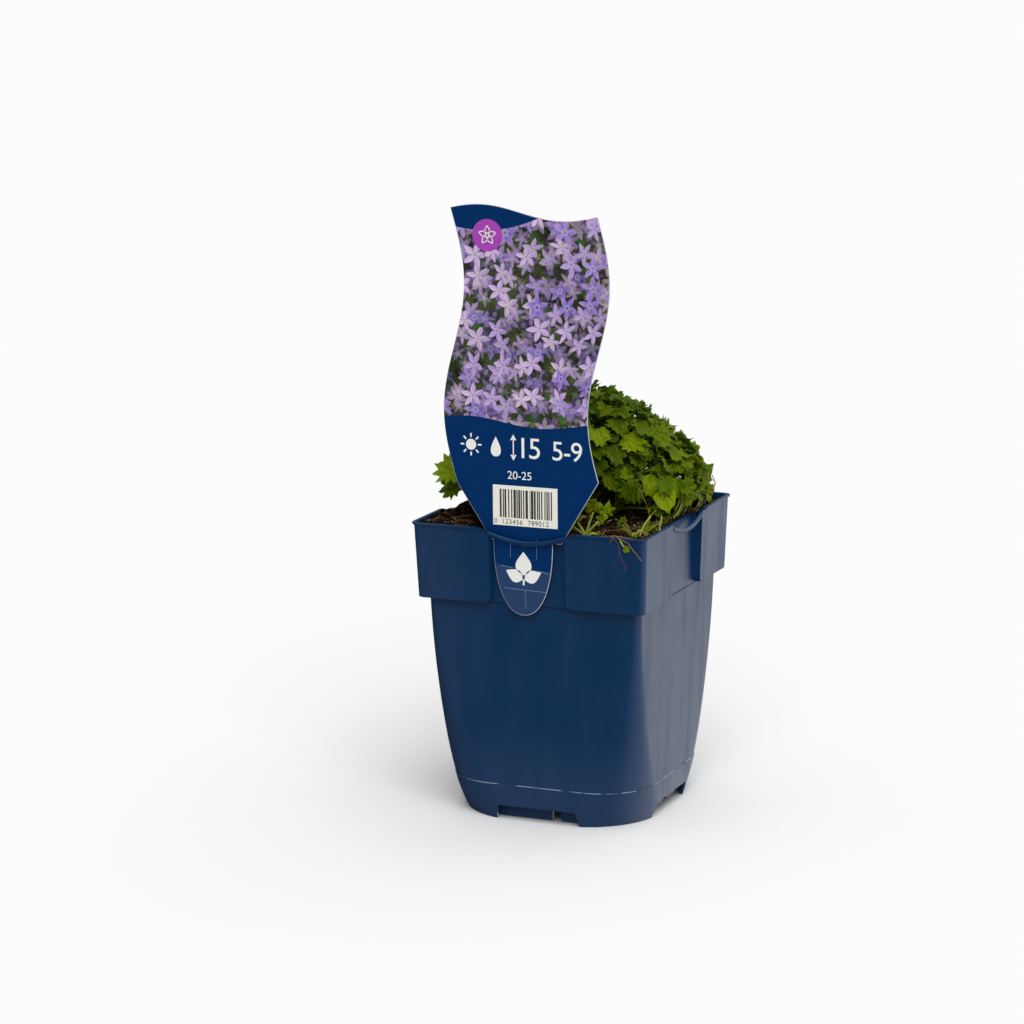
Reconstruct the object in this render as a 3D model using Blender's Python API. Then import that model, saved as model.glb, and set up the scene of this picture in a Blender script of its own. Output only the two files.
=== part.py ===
"""Potted bellflower: a cushion of small toothed leaves in a square nursery pot with a picture label.

Metres, +Z up. The origin is the middle of the pot's footprint on the ground, and the label
stands at the -Y side.
"""

import math
import random

import bmesh
import bpy
from mathutils import Matrix, Vector
from mathutils.bvhtree import BVHTree

GAP = 0.0003

# Pot: a square collar over a body whose corners open out into a nearly round foot
POT_HEIGHT = 0.133
RIM_HALF = 0.055
LIP_HEIGHT = 0.0012
COLLAR_TOP_HALF = 0.0544
COLLAR_FOOT_HALF = 0.0531
COLLAR_FOOT_Z = 0.0994
COLLAR_CORNER = 0.004
BODY_TOP_HALF = 0.0497
BODY_TAPER = 0.0029
FOOT_TUCK = 0.0022
BODY_TOP_CORNER = 0.0054
FOOT_CORNER_GROWTH = 0.0273
WALL = 0.0012
FLOOR_UNDERSIDE = 0.0072
FLOOR_TOP = 0.0087
PLINTH_TOP = 0.0165
PLINTH_STEP = 0.0003
ARC_STEPS = 6
CAVITY_STATIONS = (0.0130, 0.0200, 0.0340, 0.0550, 0.0994)

# Recess in the middle of each side, with a sagging strap across its top that holds a label
RECESS_FACE = 0.0503
RECESS_HALF_TOP = 0.0168
RECESS_HALF_FOOT = 0.0170
PANEL_CORNER = 0.0035
INNER_WALL_TOP = 0.1308
DIP_HALF = 0.024
DIP_DEPTH = 0.0045
STRAP_RADIUS = 0.0011
STRAP_HALF = 0.0184
STRAP_SEAT = 0.0536
STRAP_BOW = 0.0003

# Foot: a skirt with a notch in each side, and an inner ring wall with slots
NOTCH_HALF_TOP = 0.0184
NOTCH_HALF_FOOT = 0.0200
NOTCH_HEIGHT = 0.0067
RING_HALF = 0.0400
RING_CORNER = 0.0240
RING_CLEARANCE = 0.0006
SLOT_HALF = 0.0020
SLOT_OFFSET = 0.0074
DRAIN_RADIUS = 0.0040
DRAIN_SPREAD = 0.0240

# Label: a flat card with waved sides, a taper and a round-ended tongue
LABEL_Y = -0.0519
LABEL_THICKNESS = 0.0006
LABEL_HALF = 0.0335
LABEL_LEAN = -0.0003
WAVE_SIZE = 0.00515
WAVE_LENGTH = 0.114
WAVE_ZERO_Z = 0.2115
LABEL_TOP_Z = 0.2699
TOP_WAVE_SIZE = 0.00305
TOP_WAVE_LENGTH = 0.075
TOP_WAVE_X = -0.002
TAPER_TOP_Z = 0.1558
SHOULDER_Z = 0.1278
SHOULDER_LEFT_X = -0.0172
SHOULDER_RIGHT_X = 0.0155
TAPER_LEFT = 0.66
TONGUE_X = -0.0024
TONGUE_HALF = 0.0139
TONGUE_FOOT_Z = 0.0952
TONGUE_POWER = 2.2

# Compost
SOIL_Z = 0.1303
SOIL_CELLS = 15

# Leaf cushion
SEED = 116
LEAF_COUNT = 160
SHOOT_COUNT = 15
CUSHION_X = 0.000
CUSHION_Y = 0.0065
CUSHION_HALF_X = 0.0545
CUSHION_HALF_Y = 0.0450
CUSHION_FOOT_Z = 0.1370
CUSHION_HEIGHT = 0.0475
CUSHION_SQUARENESS = 4.5
BARE_TURN = math.radians(-50)
BARE_DEPTH = 0.48
BARE_SPREAD = 0.75
LOWEST_LEAF = math.radians(95)
ROOT_SPREAD = 0.42
GOLDEN_ANGLE = math.pi * (3 - math.sqrt(5))
LEAF_LENGTH = (0.0098, 0.0142)
TEETH = 3
LEAF_WIDTH = 1.04
BLADE_SWEEP = math.radians(158)
BLADE_THICKNESS = 0.0006
STALK_HALF = 0.00045
STALK_SLANT = 1.5
STEM_RADIUS = 0.0024
STEM_DEPTH = 0.0080
STEM_HEIGHT = 0.0032
LIFT_STEP = 0.0008
LIFT_TRIES = 11
SIDESTEPS = [(0, 0), (0.07, 0), (-0.07, 0), (0, 0.005), (0, -0.005), (0.12, 0.003), (-0.12, -0.003)]
CLEARANCE = 0.00045

# Seedlings in the bare compost at the front: place, then each leaf's offset and blade length
SEEDLING_STEM_RADIUS = 0.0010
SEEDLING_STEM_HEIGHT = 0.0016
SEEDLINGS = [
    (
        (0.0273, -0.0384),
        [
            ((-0.0036, -0.0012, 0.0112), (-0.5, -0.5, 0.35), 0.0066),
            ((-0.0080, -0.0036, 0.0070), (-0.9, -0.3, 0.05), 0.0054),
            ((0.0024, 0.0010, 0.0100), (0.8, -0.3, -0.25), 0.0068),
        ],
    ),
    (
        (0.0452, -0.0406),
        [
            ((-0.0050, -0.0022, 0.0058), (-0.9, -0.3, 0.15), 0.0046),
            ((0.0004, 0.0002, 0.0072), (-0.3, -0.6, 0.45), 0.0042),
        ],
    ),
]
GRASS_PLACE = (0.0485, -0.0370)
GRASS_RADIUS = 0.00042
GRASS_TIPS = [(0.0035, 0.0030, 0.0108), (0.0052, 0.0046, 0.0052), (-0.0012, 0.0026, 0.0076)]

NAVY = (0.010, 0.032, 0.110, 1.0)
COMPOST = (0.030, 0.016, 0.009, 1.0)
LEAF_GREEN = (0.060, 0.160, 0.018, 1.0)
SEEDLING_GREEN = (0.190, 0.330, 0.040, 1.0)
CARD_BLUE = (0.004, 0.045, 0.150, 1.0)


def clear_scene():
    for obj in list(bpy.data.objects):
        bpy.data.objects.remove(obj)


def material(name, colour, roughness):
    made = bpy.data.materials.new(name)
    made.use_nodes = True
    shader = made.node_tree.nodes["Principled BSDF"]
    shader.inputs["Base Color"].default_value = colour
    shader.inputs["Roughness"].default_value = roughness
    shader.inputs["Metallic"].default_value = 0.0
    return made


def new_object(name, mesh, collection, finish=None):
    made = bpy.data.objects.new(name, mesh)
    if finish is not None:
        mesh.materials.append(finish)
    collection.objects.link(made)
    return made


def helper(obj):
    """Marks a cutter, which isn't part of the object."""
    obj.hide_render = True
    obj.display_type = "WIRE"
    return obj


def boolean(obj, operation, other):
    modifier = obj.modifiers.new(f"{operation.lower()} {other.name}", "BOOLEAN")
    modifier.operation = operation
    modifier.object = other
    modifier.solver = "EXACT"
    return modifier


def rounded_square(half, corner, z):
    """Points of a square with round corners, anticlockwise seen from above."""
    points = []
    for quarter in range(4):
        start = math.pi / 2 * quarter
        centre = Vector((half - corner, half - corner, 0))
        centre.rotate(Matrix.Rotation(start, 3, "Z"))
        for step in range(ARC_STEPS + 1):
            angle = start + math.pi / 2 * step / ARC_STEPS
            offset = Vector((math.cos(angle), math.sin(angle), 0)) * corner
            points.append(centre + offset + Vector((0, 0, z)))
    return points


def loft_mesh(name, sections):
    """A closed skin through a stack of sections that have the same number of points."""
    bm = bmesh.new()
    rings = [[bm.verts.new(point) for point in section] for section in sections]
    count = len(rings[0])
    for lower, upper in zip(rings, rings[1:]):
        for i in range(count):
            j = (i + 1) % count
            bm.faces.new((lower[i], lower[j], upper[j], upper[i]))
    bm.faces.new(list(reversed(rings[0])))
    bm.faces.new(rings[-1])
    mesh = bpy.data.meshes.new(name)
    bm.to_mesh(mesh)
    bm.free()
    return mesh


def prism_mesh(name, outline, near_y, far_y):
    """An outline in the XZ plane, extruded along Y."""
    bm = bmesh.new()
    face = bm.faces.new([bm.verts.new((x, near_y, z)) for x, z in outline])
    pulled = bmesh.ops.extrude_face_region(bm, geom=[face])["geom"]
    moved = [part for part in pulled if isinstance(part, bmesh.types.BMVert)]
    bmesh.ops.translate(bm, verts=moved, vec=(0, far_y - near_y, 0))
    bmesh.ops.recalc_face_normals(bm, faces=bm.faces)
    mesh = bpy.data.meshes.new(name)
    bm.to_mesh(mesh)
    bm.free()
    return mesh


def on_four_sides(mesh):
    """The mesh repeated on each side of the pot, as one mesh."""
    bm = bmesh.new()
    for quarter in range(4):
        turned = mesh.copy()
        turned.transform(Matrix.Rotation(math.pi / 2 * quarter, 4, "Z"))
        bm.from_mesh(turned)
        bpy.data.meshes.remove(turned)
    bm.to_mesh(mesh)
    bm.free()
    return mesh


def body_half(z):
    drop = 1 - z / COLLAR_FOOT_Z
    return BODY_TOP_HALF - BODY_TAPER * drop - FOOT_TUCK * drop**9


def body_corner(z):
    return BODY_TOP_CORNER + FOOT_CORNER_GROWTH * (1 - z / COLLAR_FOOT_Z) ** 1.93


def body_section(z, inset=0.0):
    return rounded_square(body_half(z) - inset, body_corner(z) - inset, z)


def collar_half(z):
    share = (z - COLLAR_FOOT_Z) / (POT_HEIGHT - COLLAR_FOOT_Z)
    return COLLAR_FOOT_HALF + (COLLAR_TOP_HALF - COLLAR_FOOT_HALF) * share


def collar_section(z, inset=0.0):
    return rounded_square(collar_half(z) - inset, COLLAR_CORNER - inset, z)


def pot_skin():
    """The outside of the pot, as a solid block."""
    plinth = [body_section(z, -PLINTH_STEP) for z in (0.0, 0.0035, 0.008, PLINTH_TOP)]
    body_heights = (PLINTH_TOP + 0.00015, 0.027, 0.041, 0.057, 0.077, COLLAR_FOOT_Z)
    body = [body_section(z) for z in body_heights]
    lip_z = POT_HEIGHT - LIP_HEIGHT
    collar = [
        collar_section(COLLAR_FOOT_Z + 0.0002),
        collar_section(lip_z),
        rounded_square(RIM_HALF, COLLAR_CORNER, lip_z + 0.0004),
        rounded_square(RIM_HALF, COLLAR_CORNER, POT_HEIGHT),
    ]
    return plinth + body + collar


def recess_outline(grow=0.0):
    """The recess seen from the front: it spreads at its foot round the panels' corners."""
    top_z = POT_HEIGHT + 0.010
    points = [(-RECESS_HALF_TOP - grow, top_z)]
    foot = COLLAR_FOOT_Z - grow
    for step in range(5):
        angle = math.pi / 2 * step / 4
        x = RECESS_HALF_FOOT + PANEL_CORNER + grow - PANEL_CORNER * math.cos(angle)
        z = foot + PANEL_CORNER - PANEL_CORNER * math.sin(angle)
        points.append((-x, z))
    points.append((points[-1][0], foot - 0.004))
    mirrored = [(-x, z) for x, z in reversed(points)]
    return points + mirrored


def rim_dip(x):
    """How far the rim sinks below its corners, at x from the middle of a side."""
    if abs(x) >= DIP_HALF:
        return 0.0
    return DIP_DEPTH * (1 - (x / DIP_HALF) ** 2) ** 1.5


def dip_outline():
    points = []
    for step in range(13):
        x = DIP_HALF * (step / 6 - 1)
        points.append((x, POT_HEIGHT - rim_dip(x)))
    ends = [(DIP_HALF, POT_HEIGHT + 0.006), (-DIP_HALF, POT_HEIGHT + 0.006)]
    points[0] = (points[0][0], POT_HEIGHT + 0.0002)
    points[-1] = (points[-1][0], POT_HEIGHT + 0.0002)
    return points + ends


def cavity_lower(name, shrink, heights, collection):
    """The inside of the body, carried straight up between the recess walls."""
    inset = WALL + shrink
    sections = [rounded_square(body_half(FLOOR_TOP) - inset - 0.004, 0.022, FLOOR_TOP + shrink)]
    sections += [body_section(z, inset) for z in heights]
    upper = RECESS_FACE - WALL - shrink
    sections += [rounded_square(upper, 0.0046, COLLAR_FOOT_Z + 0.001)]
    sections += [rounded_square(upper, 0.0046, POT_HEIGHT + 0.012)]
    return helper(new_object(name, loft_mesh(name, sections), collection))


def cavity_collar(name, shrink, recess_grow, collection):
    """The inside of the collar, which stops short of the four recesses."""
    inset = WALL + shrink
    sections = [
        collar_section(COLLAR_FOOT_Z + WALL + shrink, inset),
        collar_section(POT_HEIGHT, inset),
        rounded_square(COLLAR_TOP_HALF - inset, COLLAR_CORNER - inset, POT_HEIGHT + 0.011),
    ]
    made = helper(new_object(name, loft_mesh(name, sections), collection))
    near = -(RECESS_FACE - WALL - shrink)
    blocks = on_four_sides(prism_mesh(name + "_blocks", recess_outline(recess_grow), near, -0.070))
    boolean(made, "DIFFERENCE", helper(new_object(name + "_blocks", blocks, collection)))
    return made


def strap_mesh():
    """The bar across a recess: it follows the sagging rim and bows outwards a little."""
    curve = bpy.data.curves.new("strap_path", "CURVE")
    curve.dimensions = "3D"
    curve.bevel_depth = STRAP_RADIUS
    curve.bevel_resolution = 1
    curve.use_fill_caps = True
    count = 11
    spline = curve.splines.new("POLY")
    spline.points.add(count - 1)
    for i, point in enumerate(spline.points):
        x = STRAP_HALF * (2 * i / (count - 1) - 1)
        y = -(STRAP_SEAT + STRAP_BOW * (1 - (x / STRAP_HALF) ** 2))
        point.co = (x, y, POT_HEIGHT - rim_dip(x) - STRAP_RADIUS, 1)
    holder = bpy.data.objects.new("strap_path", curve)
    bpy.context.scene.collection.objects.link(holder)
    graph = bpy.context.evaluated_depsgraph_get()
    mesh = bpy.data.meshes.new_from_object(holder.evaluated_get(graph))
    bpy.data.objects.remove(holder)
    bm = bmesh.new()
    bm.from_mesh(mesh)
    bmesh.ops.remove_doubles(bm, verts=bm.verts, dist=0.00001)
    bm.to_mesh(mesh)
    bm.free()
    return on_four_sides(mesh)


def box_outline(left, right, low, high):
    return [(left, low), (right, low), (right, high), (left, high)]


def notch_outline():
    low = -0.002
    return [
        (-NOTCH_HALF_FOOT, low),
        (NOTCH_HALF_FOOT, low),
        (NOTCH_HALF_TOP, NOTCH_HEIGHT),
        (-NOTCH_HALF_TOP, NOTCH_HEIGHT),
    ]


def drain_mesh():
    """Cutters for the five drain holes in the floor."""
    bm = bmesh.new()
    places = [(0.0, 0.0)]
    places += [(DRAIN_SPREAD * x, DRAIN_SPREAD * y) for x in (-1, 1) for y in (-1, 1)]
    for x, y in places:
        at = Matrix.Translation((x, y, (FLOOR_UNDERSIDE + FLOOR_TOP) / 2))
        bmesh.ops.create_cone(
            bm,
            cap_ends=True,
            segments=12,
            radius1=DRAIN_RADIUS,
            radius2=DRAIN_RADIUS,
            depth=0.004,
            matrix=at,
        )
    mesh = bpy.data.meshes.new("drain_cutters")
    bm.to_mesh(mesh)
    bm.free()
    return mesh


def make_foot(pot, cutters):
    """Hollows the underside, leaving the notched skirt and the slotted inner ring."""
    hollow = loft_mesh(
        "underside_hollow",
        [
            body_section(-0.002, WALL),
            body_section(0.003, WALL),
            body_section(FLOOR_UNDERSIDE, WALL),
        ],
    )
    hollow = helper(new_object("underside_hollow", hollow, cutters))
    ring_low = [rounded_square(RING_HALF, RING_CORNER, z) for z in (RING_CLEARANCE, 0.012)]
    ring = helper(new_object("foot_ring", loft_mesh("foot_ring", ring_low), cutters))
    inner = [
        rounded_square(RING_HALF - WALL, RING_CORNER - WALL, z)
        for z in (-0.004, FLOOR_UNDERSIDE + 0.004)
    ]
    ring_inside = helper(new_object("ring_inside", loft_mesh("ring_inside", inner), cutters))
    boolean(ring, "DIFFERENCE", ring_inside)
    low, high = -0.003, FLOOR_UNDERSIDE + 0.0001
    slot = box_outline(SLOT_OFFSET - SLOT_HALF, SLOT_OFFSET + SLOT_HALF, low, high)
    slots = on_four_sides(prism_mesh("ring_slots", slot, -0.030, -0.0435))
    boolean(ring, "DIFFERENCE", helper(new_object("ring_slots", slots, cutters)))
    boolean(hollow, "DIFFERENCE", ring)
    boolean(pot, "DIFFERENCE", hollow)
    notches = on_four_sides(prism_mesh("notches", notch_outline(), -0.0425, -0.060))
    boolean(pot, "DIFFERENCE", helper(new_object("notches", notches, cutters)))
    boolean(pot, "DIFFERENCE", helper(new_object("drain_cutters", drain_mesh(), cutters)))


def make_pot(parts, cutters, finish):
    pot = new_object("pot", loft_mesh("pot", pot_skin()), parts, finish)
    boolean(pot, "DIFFERENCE", cavity_lower("cavity_lower", 0.0, CAVITY_STATIONS, cutters))
    boolean(pot, "DIFFERENCE", cavity_collar("cavity_collar", 0.0, WALL, cutters))
    recess = on_four_sides(prism_mesh("recesses", recess_outline(), -RECESS_FACE, -0.065))
    boolean(pot, "DIFFERENCE", helper(new_object("recesses", recess, cutters)))
    dips = on_four_sides(prism_mesh("rim_dips", dip_outline(), -0.0515, -0.062))
    boolean(pot, "DIFFERENCE", helper(new_object("rim_dips", dips, cutters)))
    reach = RECESS_HALF_TOP + WALL + 0.0003
    top = box_outline(-reach, reach, INNER_WALL_TOP, POT_HEIGHT + 0.008)
    tops = on_four_sides(prism_mesh("inner_wall_tops", top, -0.047, -0.0522))
    boolean(pot, "DIFFERENCE", helper(new_object("inner_wall_tops", tops, cutters)))
    seat = box_outline(-0.0182, 0.0182, SHOULDER_Z - GAP, POT_HEIGHT + 0.007)
    near, far = LABEL_Y + LABEL_THICKNESS / 2 + GAP, LABEL_Y - LABEL_THICKNESS / 2 - GAP
    seats = on_four_sides(prism_mesh("label_seats", seat, near, far))
    boolean(pot, "DIFFERENCE", helper(new_object("label_seats", seats, cutters)))
    boolean(pot, "UNION", helper(new_object("straps", strap_mesh(), cutters)))
    make_foot(pot, cutters)
    pot.data.shade_smooth()
    pot.data.set_sharp_from_angle(angle=math.radians(30))
    return pot


def side_wave(z):
    return LABEL_LEAN + WAVE_SIZE * math.sin(2 * math.pi * (z - WAVE_ZERO_Z) / WAVE_LENGTH)


def top_edge(x):
    return LABEL_TOP_Z - TOP_WAVE_SIZE * math.sin(2 * math.pi * (x - TOP_WAVE_X) / TOP_WAVE_LENGTH)


def left_edge(z):
    taper = SHOULDER_LEFT_X - TAPER_LEFT * (z - SHOULDER_Z)
    return max(-LABEL_HALF + side_wave(z), taper)


def right_edge(z):
    return LABEL_HALF + side_wave(z)


def label_outline():
    """The card's outline in the XZ plane, from the foot of the tongue round by the right side."""
    points = []
    tongue_top = SHOULDER_Z
    steps = 9
    for step in range(-steps, steps + 1):
        along = math.sin(math.pi / 2 * step / steps)
        drop = (1 - abs(along) ** TONGUE_POWER) ** (1 / TONGUE_POWER)
        z = tongue_top - (tongue_top - TONGUE_FOOT_Z) * drop
        points.append((TONGUE_X + TONGUE_HALF * along, z))
    points.append((SHOULDER_RIGHT_X, SHOULDER_Z))
    top_right = top_edge(right_edge(LABEL_TOP_Z))
    for step in range(18):
        z = TAPER_TOP_Z + (top_right - TAPER_TOP_Z) * step / 17
        points.append((right_edge(z), z))
    right_x, left_x = right_edge(top_right), left_edge(top_edge(left_edge(LABEL_TOP_Z)))
    for step in range(1, 12):
        x = right_x + (left_x - right_x) * step / 12
        points.append((x, top_edge(x)))
    top_left = top_edge(left_x)
    for step in range(22):
        z = top_left + (SHOULDER_Z - top_left) * step / 21
        points.append((left_edge(z), z))
    return points


def make_label(parts, finish):
    near = LABEL_Y - LABEL_THICKNESS / 2
    mesh = prism_mesh("label", label_outline(), near, near + LABEL_THICKNESS)
    return new_object("label", mesh, parts, finish)


def soil_height(x, y):
    """The compost's top: heaped under the cushion, with small lumps."""
    heap = 0.0034 * math.exp(-((x + 0.012) ** 2 + (y - 0.006) ** 2) / 0.0011)
    broad = 0.0007 * math.sin(150 * x + 1.1) * math.cos(130 * y - 0.6)
    fine = 0.0005 * math.sin(420 * x - 2.0) * math.sin(390 * y + 0.9)
    return SOIL_Z + heap + broad + fine


def soil_block():
    """A block with the compost's uneven top."""
    reach = RIM_HALF + 0.002
    bm = bmesh.new()
    bmesh.ops.create_grid(bm, x_segments=SOIL_CELLS, y_segments=SOIL_CELLS, size=reach)
    for vert in bm.verts:
        vert.co.z = soil_height(vert.co.x, vert.co.y)
    rim = [edge for edge in bm.edges if edge.is_boundary]
    pulled = bmesh.ops.extrude_edge_only(bm, edges=rim)["geom"]
    low = [part for part in pulled if isinstance(part, bmesh.types.BMVert)]
    for vert in low:
        vert.co.z = FLOOR_TOP - 0.004
    bmesh.ops.contextual_create(bm, geom=[e for e in bm.edges if e.is_boundary])
    bmesh.ops.triangulate(bm, faces=bm.faces)
    bmesh.ops.recalc_face_normals(bm, faces=bm.faces)
    mesh = bpy.data.meshes.new("soil")
    bm.to_mesh(mesh)
    bm.free()
    return mesh


def stem_mesh(name, radius, low, high, places):
    """Upright six-sided pegs at the given places, as one mesh."""
    bm = bmesh.new()
    for x, y in places:
        base = soil_height(x, y)
        at = Matrix.Translation((x, y, base + (low + high) / 2))
        bmesh.ops.create_cone(
            bm,
            cap_ends=True,
            segments=6,
            radius1=radius,
            radius2=radius,
            depth=high - low,
            matrix=at,
        )
    mesh = bpy.data.meshes.new(name)
    bm.to_mesh(mesh)
    bm.free()
    return mesh


def make_soil(parts, cutters, finish):
    soil = new_object("soil", soil_block(), parts, finish)
    inside = cavity_lower("soil_shape", GAP, (0.0130, 0.0340, 0.0994), cutters)
    boolean(inside, "UNION", cavity_collar("soil_collar", GAP, WALL + 0.0025, cutters))
    boolean(soil, "INTERSECT", inside)
    small = [place for place, _ in SEEDLINGS] + [GRASS_PLACE]
    for name, radius, stems in (
        ("stem_holes", STEM_RADIUS, stem_places()),
        ("seedling_holes", SEEDLING_STEM_RADIUS, small),
    ):
        holes = stem_mesh(name, radius + GAP, -STEM_DEPTH - GAP, 0.006, stems)
        boolean(soil, "DIFFERENCE", helper(new_object(name, holes, cutters)))
    return soil


def blade_outline(length, teeth):
    """Half of the blade's edge, from the stalk to the tip, as (along, across) points.

    The blade is broad and heart shaped, and its teeth point towards the tip.
    """
    centre = 0.40 * length
    half = [(0.0, STALK_HALF)]
    for index in range(teeth, 0, -1):
        tooth = BLADE_SWEEP * index / (teeth + 0.5)
        notch = tooth - BLADE_SWEEP / (teeth + 0.5) * 0.42
        for angle, share in ((tooth, 1.0), (notch, 0.80)):
            stretch = 0.10 if angle < math.pi / 2 else -0.04
            reach = length * share * (0.50 + stretch * math.cos(angle) ** 2)
            along = centre + reach * math.cos(angle)
            across = reach * math.sin(angle) * LEAF_WIDTH
            half.append((along, across))
    half.append((length, 0.0))
    return half


def blade_rise(along, across, leaf):
    """How far the blade stands above its flat plane: folded up from the midrib, drooping to the tip."""
    length = leaf["length"]
    return leaf["fold"] * abs(across) - leaf["droop"] * max(along, 0.0) ** 2 / length


def leaf_solid(leaf, thickness, grow=1.0):
    """A toothed blade and its three-sided stalk as one closed skin: (points, faces) in world space."""
    half = blade_outline(leaf["length"] * grow, leaf["teeth"])
    edge = half + [(along, -across) for along, across in reversed(half[:-1])]
    middle = (0.42 * leaf["length"] * grow, 0.0)
    base, midrib, up = leaf["base"], leaf["midrib"], leaf["up"]
    side = up.cross(midrib)

    def raised(flat, lift):
        along, across = flat
        rise = blade_rise(along, across, leaf) + lift
        return base + midrib * along + side * across + up * rise

    # The top face has two corners at the stalk, and the underside has one between them, set
    # further in so that the stalk can leave downwards.
    last = len(edge) - 1
    heel = (STALK_SLANT * thickness, 0.0)
    points = [raised(flat, thickness / 2) for flat in [*edge, middle]]
    points += [raised(flat, -thickness / 2) for flat in [heel, *edge[1:last], middle]]
    top_middle, under, under_middle = last + 1, last + 2, 2 * last + 2
    faces = []
    for i in range(last):
        below, next_below = under + i, under + (i + 1) % last
        faces.append((top_middle, i + 1, i))
        faces.append((under_middle, below, next_below))
        faces.append((i, i + 1, next_below, below))
    faces.append((top_middle, 0, last))
    ring = [last, 0, under]
    width, depth = STALK_HALF * grow, thickness / 2
    for place, stalk_side, stalk_up in leaf["stalk"]:
        fresh = [len(points) + i for i in range(3)]
        for across, rise in ((-width, depth), (width, depth), (0, -depth)):
            points.append(place + stalk_side * across + stalk_up * rise)
        for i in range(3):
            j = (i + 1) % 3
            faces.append((ring[i], ring[j], fresh[j], fresh[i]))
        ring = fresh
    faces.append(tuple(ring))
    return points, faces


def plan_reach(turn):
    """The cushion seen from above: a rounded square that falls short of the front right corner."""
    power = CUSHION_SQUARENESS
    square = (abs(math.cos(turn)) ** power + abs(math.sin(turn)) ** power) ** (-1 / power)
    away = math.remainder(turn - BARE_TURN, 2 * math.pi) / BARE_SPREAD
    return square * (1 - BARE_DEPTH * math.exp(-away * away))


def cushion_point(share, turn):
    """A point on the cushion's surface and its outward normal.

    share runs from 0 at the top to 1 at the lowest leaves, and turn is the angle round it.
    """
    polar = math.acos(1 - share * share * (1 - math.cos(LOWEST_LEAF)))
    flat = plan_reach(turn)

    def place(angle_down, angle_round, reach):
        out = math.sin(angle_down) * reach
        return Vector(
            (
                CUSHION_X + CUSHION_HALF_X * out * math.cos(angle_round),
                CUSHION_Y + CUSHION_HALF_Y * out * math.sin(angle_round),
                CUSHION_FOOT_Z + CUSHION_HEIGHT * math.cos(angle_down),
            )
        )

    here = place(polar, turn, flat)
    down = place(polar + 0.02, turn, flat) - here
    level = Vector((-CUSHION_HALF_X * math.sin(turn), CUSHION_HALF_Y * math.cos(turn), 0))
    normal = down.cross(level)
    if normal.dot(here - Vector((CUSHION_X, CUSHION_Y, SOIL_Z))) < 0:
        normal.negate()
    return here, normal.normalized(), down.normalized()


def stem_places():
    places = []
    for k in range(SHOOT_COUNT):
        turn = k * GOLDEN_ANGLE
        reach = math.sqrt((k + 0.5) / SHOOT_COUNT) * ROOT_SPREAD * plan_reach(turn)
        x = CUSHION_X + CUSHION_HALF_X * reach * math.cos(turn)
        y = CUSHION_Y + CUSHION_HALF_Y * reach * math.sin(turn)
        places.append((x, y))
    return places


def nearest_shoot(share, turn):
    def apart(k):
        reach = math.sqrt((k + 0.5) / SHOOT_COUNT)
        other = k * GOLDEN_ANGLE
        x = share * math.cos(turn) - reach * math.cos(other)
        y = share * math.sin(turn) - reach * math.sin(other)
        return x * x + y * y

    return min(range(SHOOT_COUNT), key=apart)


def route_stalk(leaf, stem, sway=0.0):
    """The stalk's stations from the blade down to its stem, along a curve that leaves the stem upwards.

    sway pushes the curve sideways, round whatever stands in its way.
    """
    head = leaf["base"]
    foot = Vector((stem[0], stem[1], soil_height(*stem) + leaf["foot_height"]))
    lean = Vector((head.x - foot.x, head.y - foot.y, 0))
    foot += lean.normalized() * leaf["foot_reach"]
    bend = foot + Vector((0, 0, 0.55 * (head.z - foot.z))) + (head - foot) * 0.15
    bend += Vector((-lean.y, lean.x, 0)).normalized() * sway
    stations = []
    for share in (0.45, 1.0):
        place = head * (1 - share) ** 2 + bend * 2 * share * (1 - share) + foot * share**2
        heading = (bend - head) * 2 * (1 - share) + (foot - bend) * 2 * share
        heading.normalize()
        side = leaf["up"].cross(leaf["midrib"])
        side = (side - heading * side.dot(heading)).normalized()
        stations.append((place, side, side.cross(heading)))
    leaf["stalk"] = stations


def folds_back(leaf):
    """Whether the stalk would have to double back on leaving the blade."""
    away = (leaf["stalk"][0][0] - leaf["base"]).normalized()
    slant = -(leaf["midrib"] + leaf["up"] * STALK_SLANT).normalized()
    return away.dot(slant) < 0.25


def aim_leaf(leaf, lift, swing):
    """Sets the leaf's base and axes: it hangs down the cushion with its tip standing off."""
    here, normal, down = cushion_point(leaf["share"], leaf["turn"] + swing)
    level = normal.cross(down)
    heading = down * math.cos(leaf["veer"]) + level * math.sin(leaf["veer"])
    midrib = heading * math.cos(leaf["tilt"]) + normal * math.sin(leaf["tilt"])
    up = normal * math.cos(leaf["tilt"]) - heading * math.sin(leaf["tilt"])
    up.rotate(Matrix.Rotation(leaf["roll"], 3, midrib))
    leaf["midrib"], leaf["up"] = midrib.normalized(), up.normalized()
    leaf["base"] = here + normal * lift - midrib * leaf["length"] * 0.35


def in_bounds(points):
    """Leaves stay above the compost, inside the rim's outline and behind the label."""
    for p in points:
        if p.z < soil_height(p.x, p.y) + 0.0006:
            return False
        if max(abs(p.x), abs(p.y)) > RIM_HALF + 0.0010:
            return False
        if p.z < POT_HEIGHT + 0.0006 and max(abs(p.x), abs(p.y)) > RECESS_FACE - WALL - 0.0012:
            return False
        if p.y < LABEL_Y + 0.0030:
            return False
    return True


def seedling_leaves():
    """The leaves of the seedlings, one list for each."""
    grown = []
    for k, (stem, wanted) in enumerate(SEEDLINGS):
        own = []
        for offset, heading, length in wanted:
            midrib = Vector(heading).normalized()
            up = Vector((0, -0.35, 1))
            up = (up - midrib * up.dot(midrib)).normalized()
            leaf = {"length": length, "teeth": 2, "fold": 0.30, "droop": 0.15}
            leaf["foot_height"], leaf["foot_reach"] = 0.0006, 0.0005
            leaf["shoot"] = f"seedling {k}"
            leaf["midrib"], leaf["up"] = midrib, up
            leaf["base"] = Vector((*stem, soil_height(*stem))) + Vector(offset)
            route_stalk(leaf, stem)
            record_trees(leaf)
            own.append(leaf)
        grown.append(own)
    return grown


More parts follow.
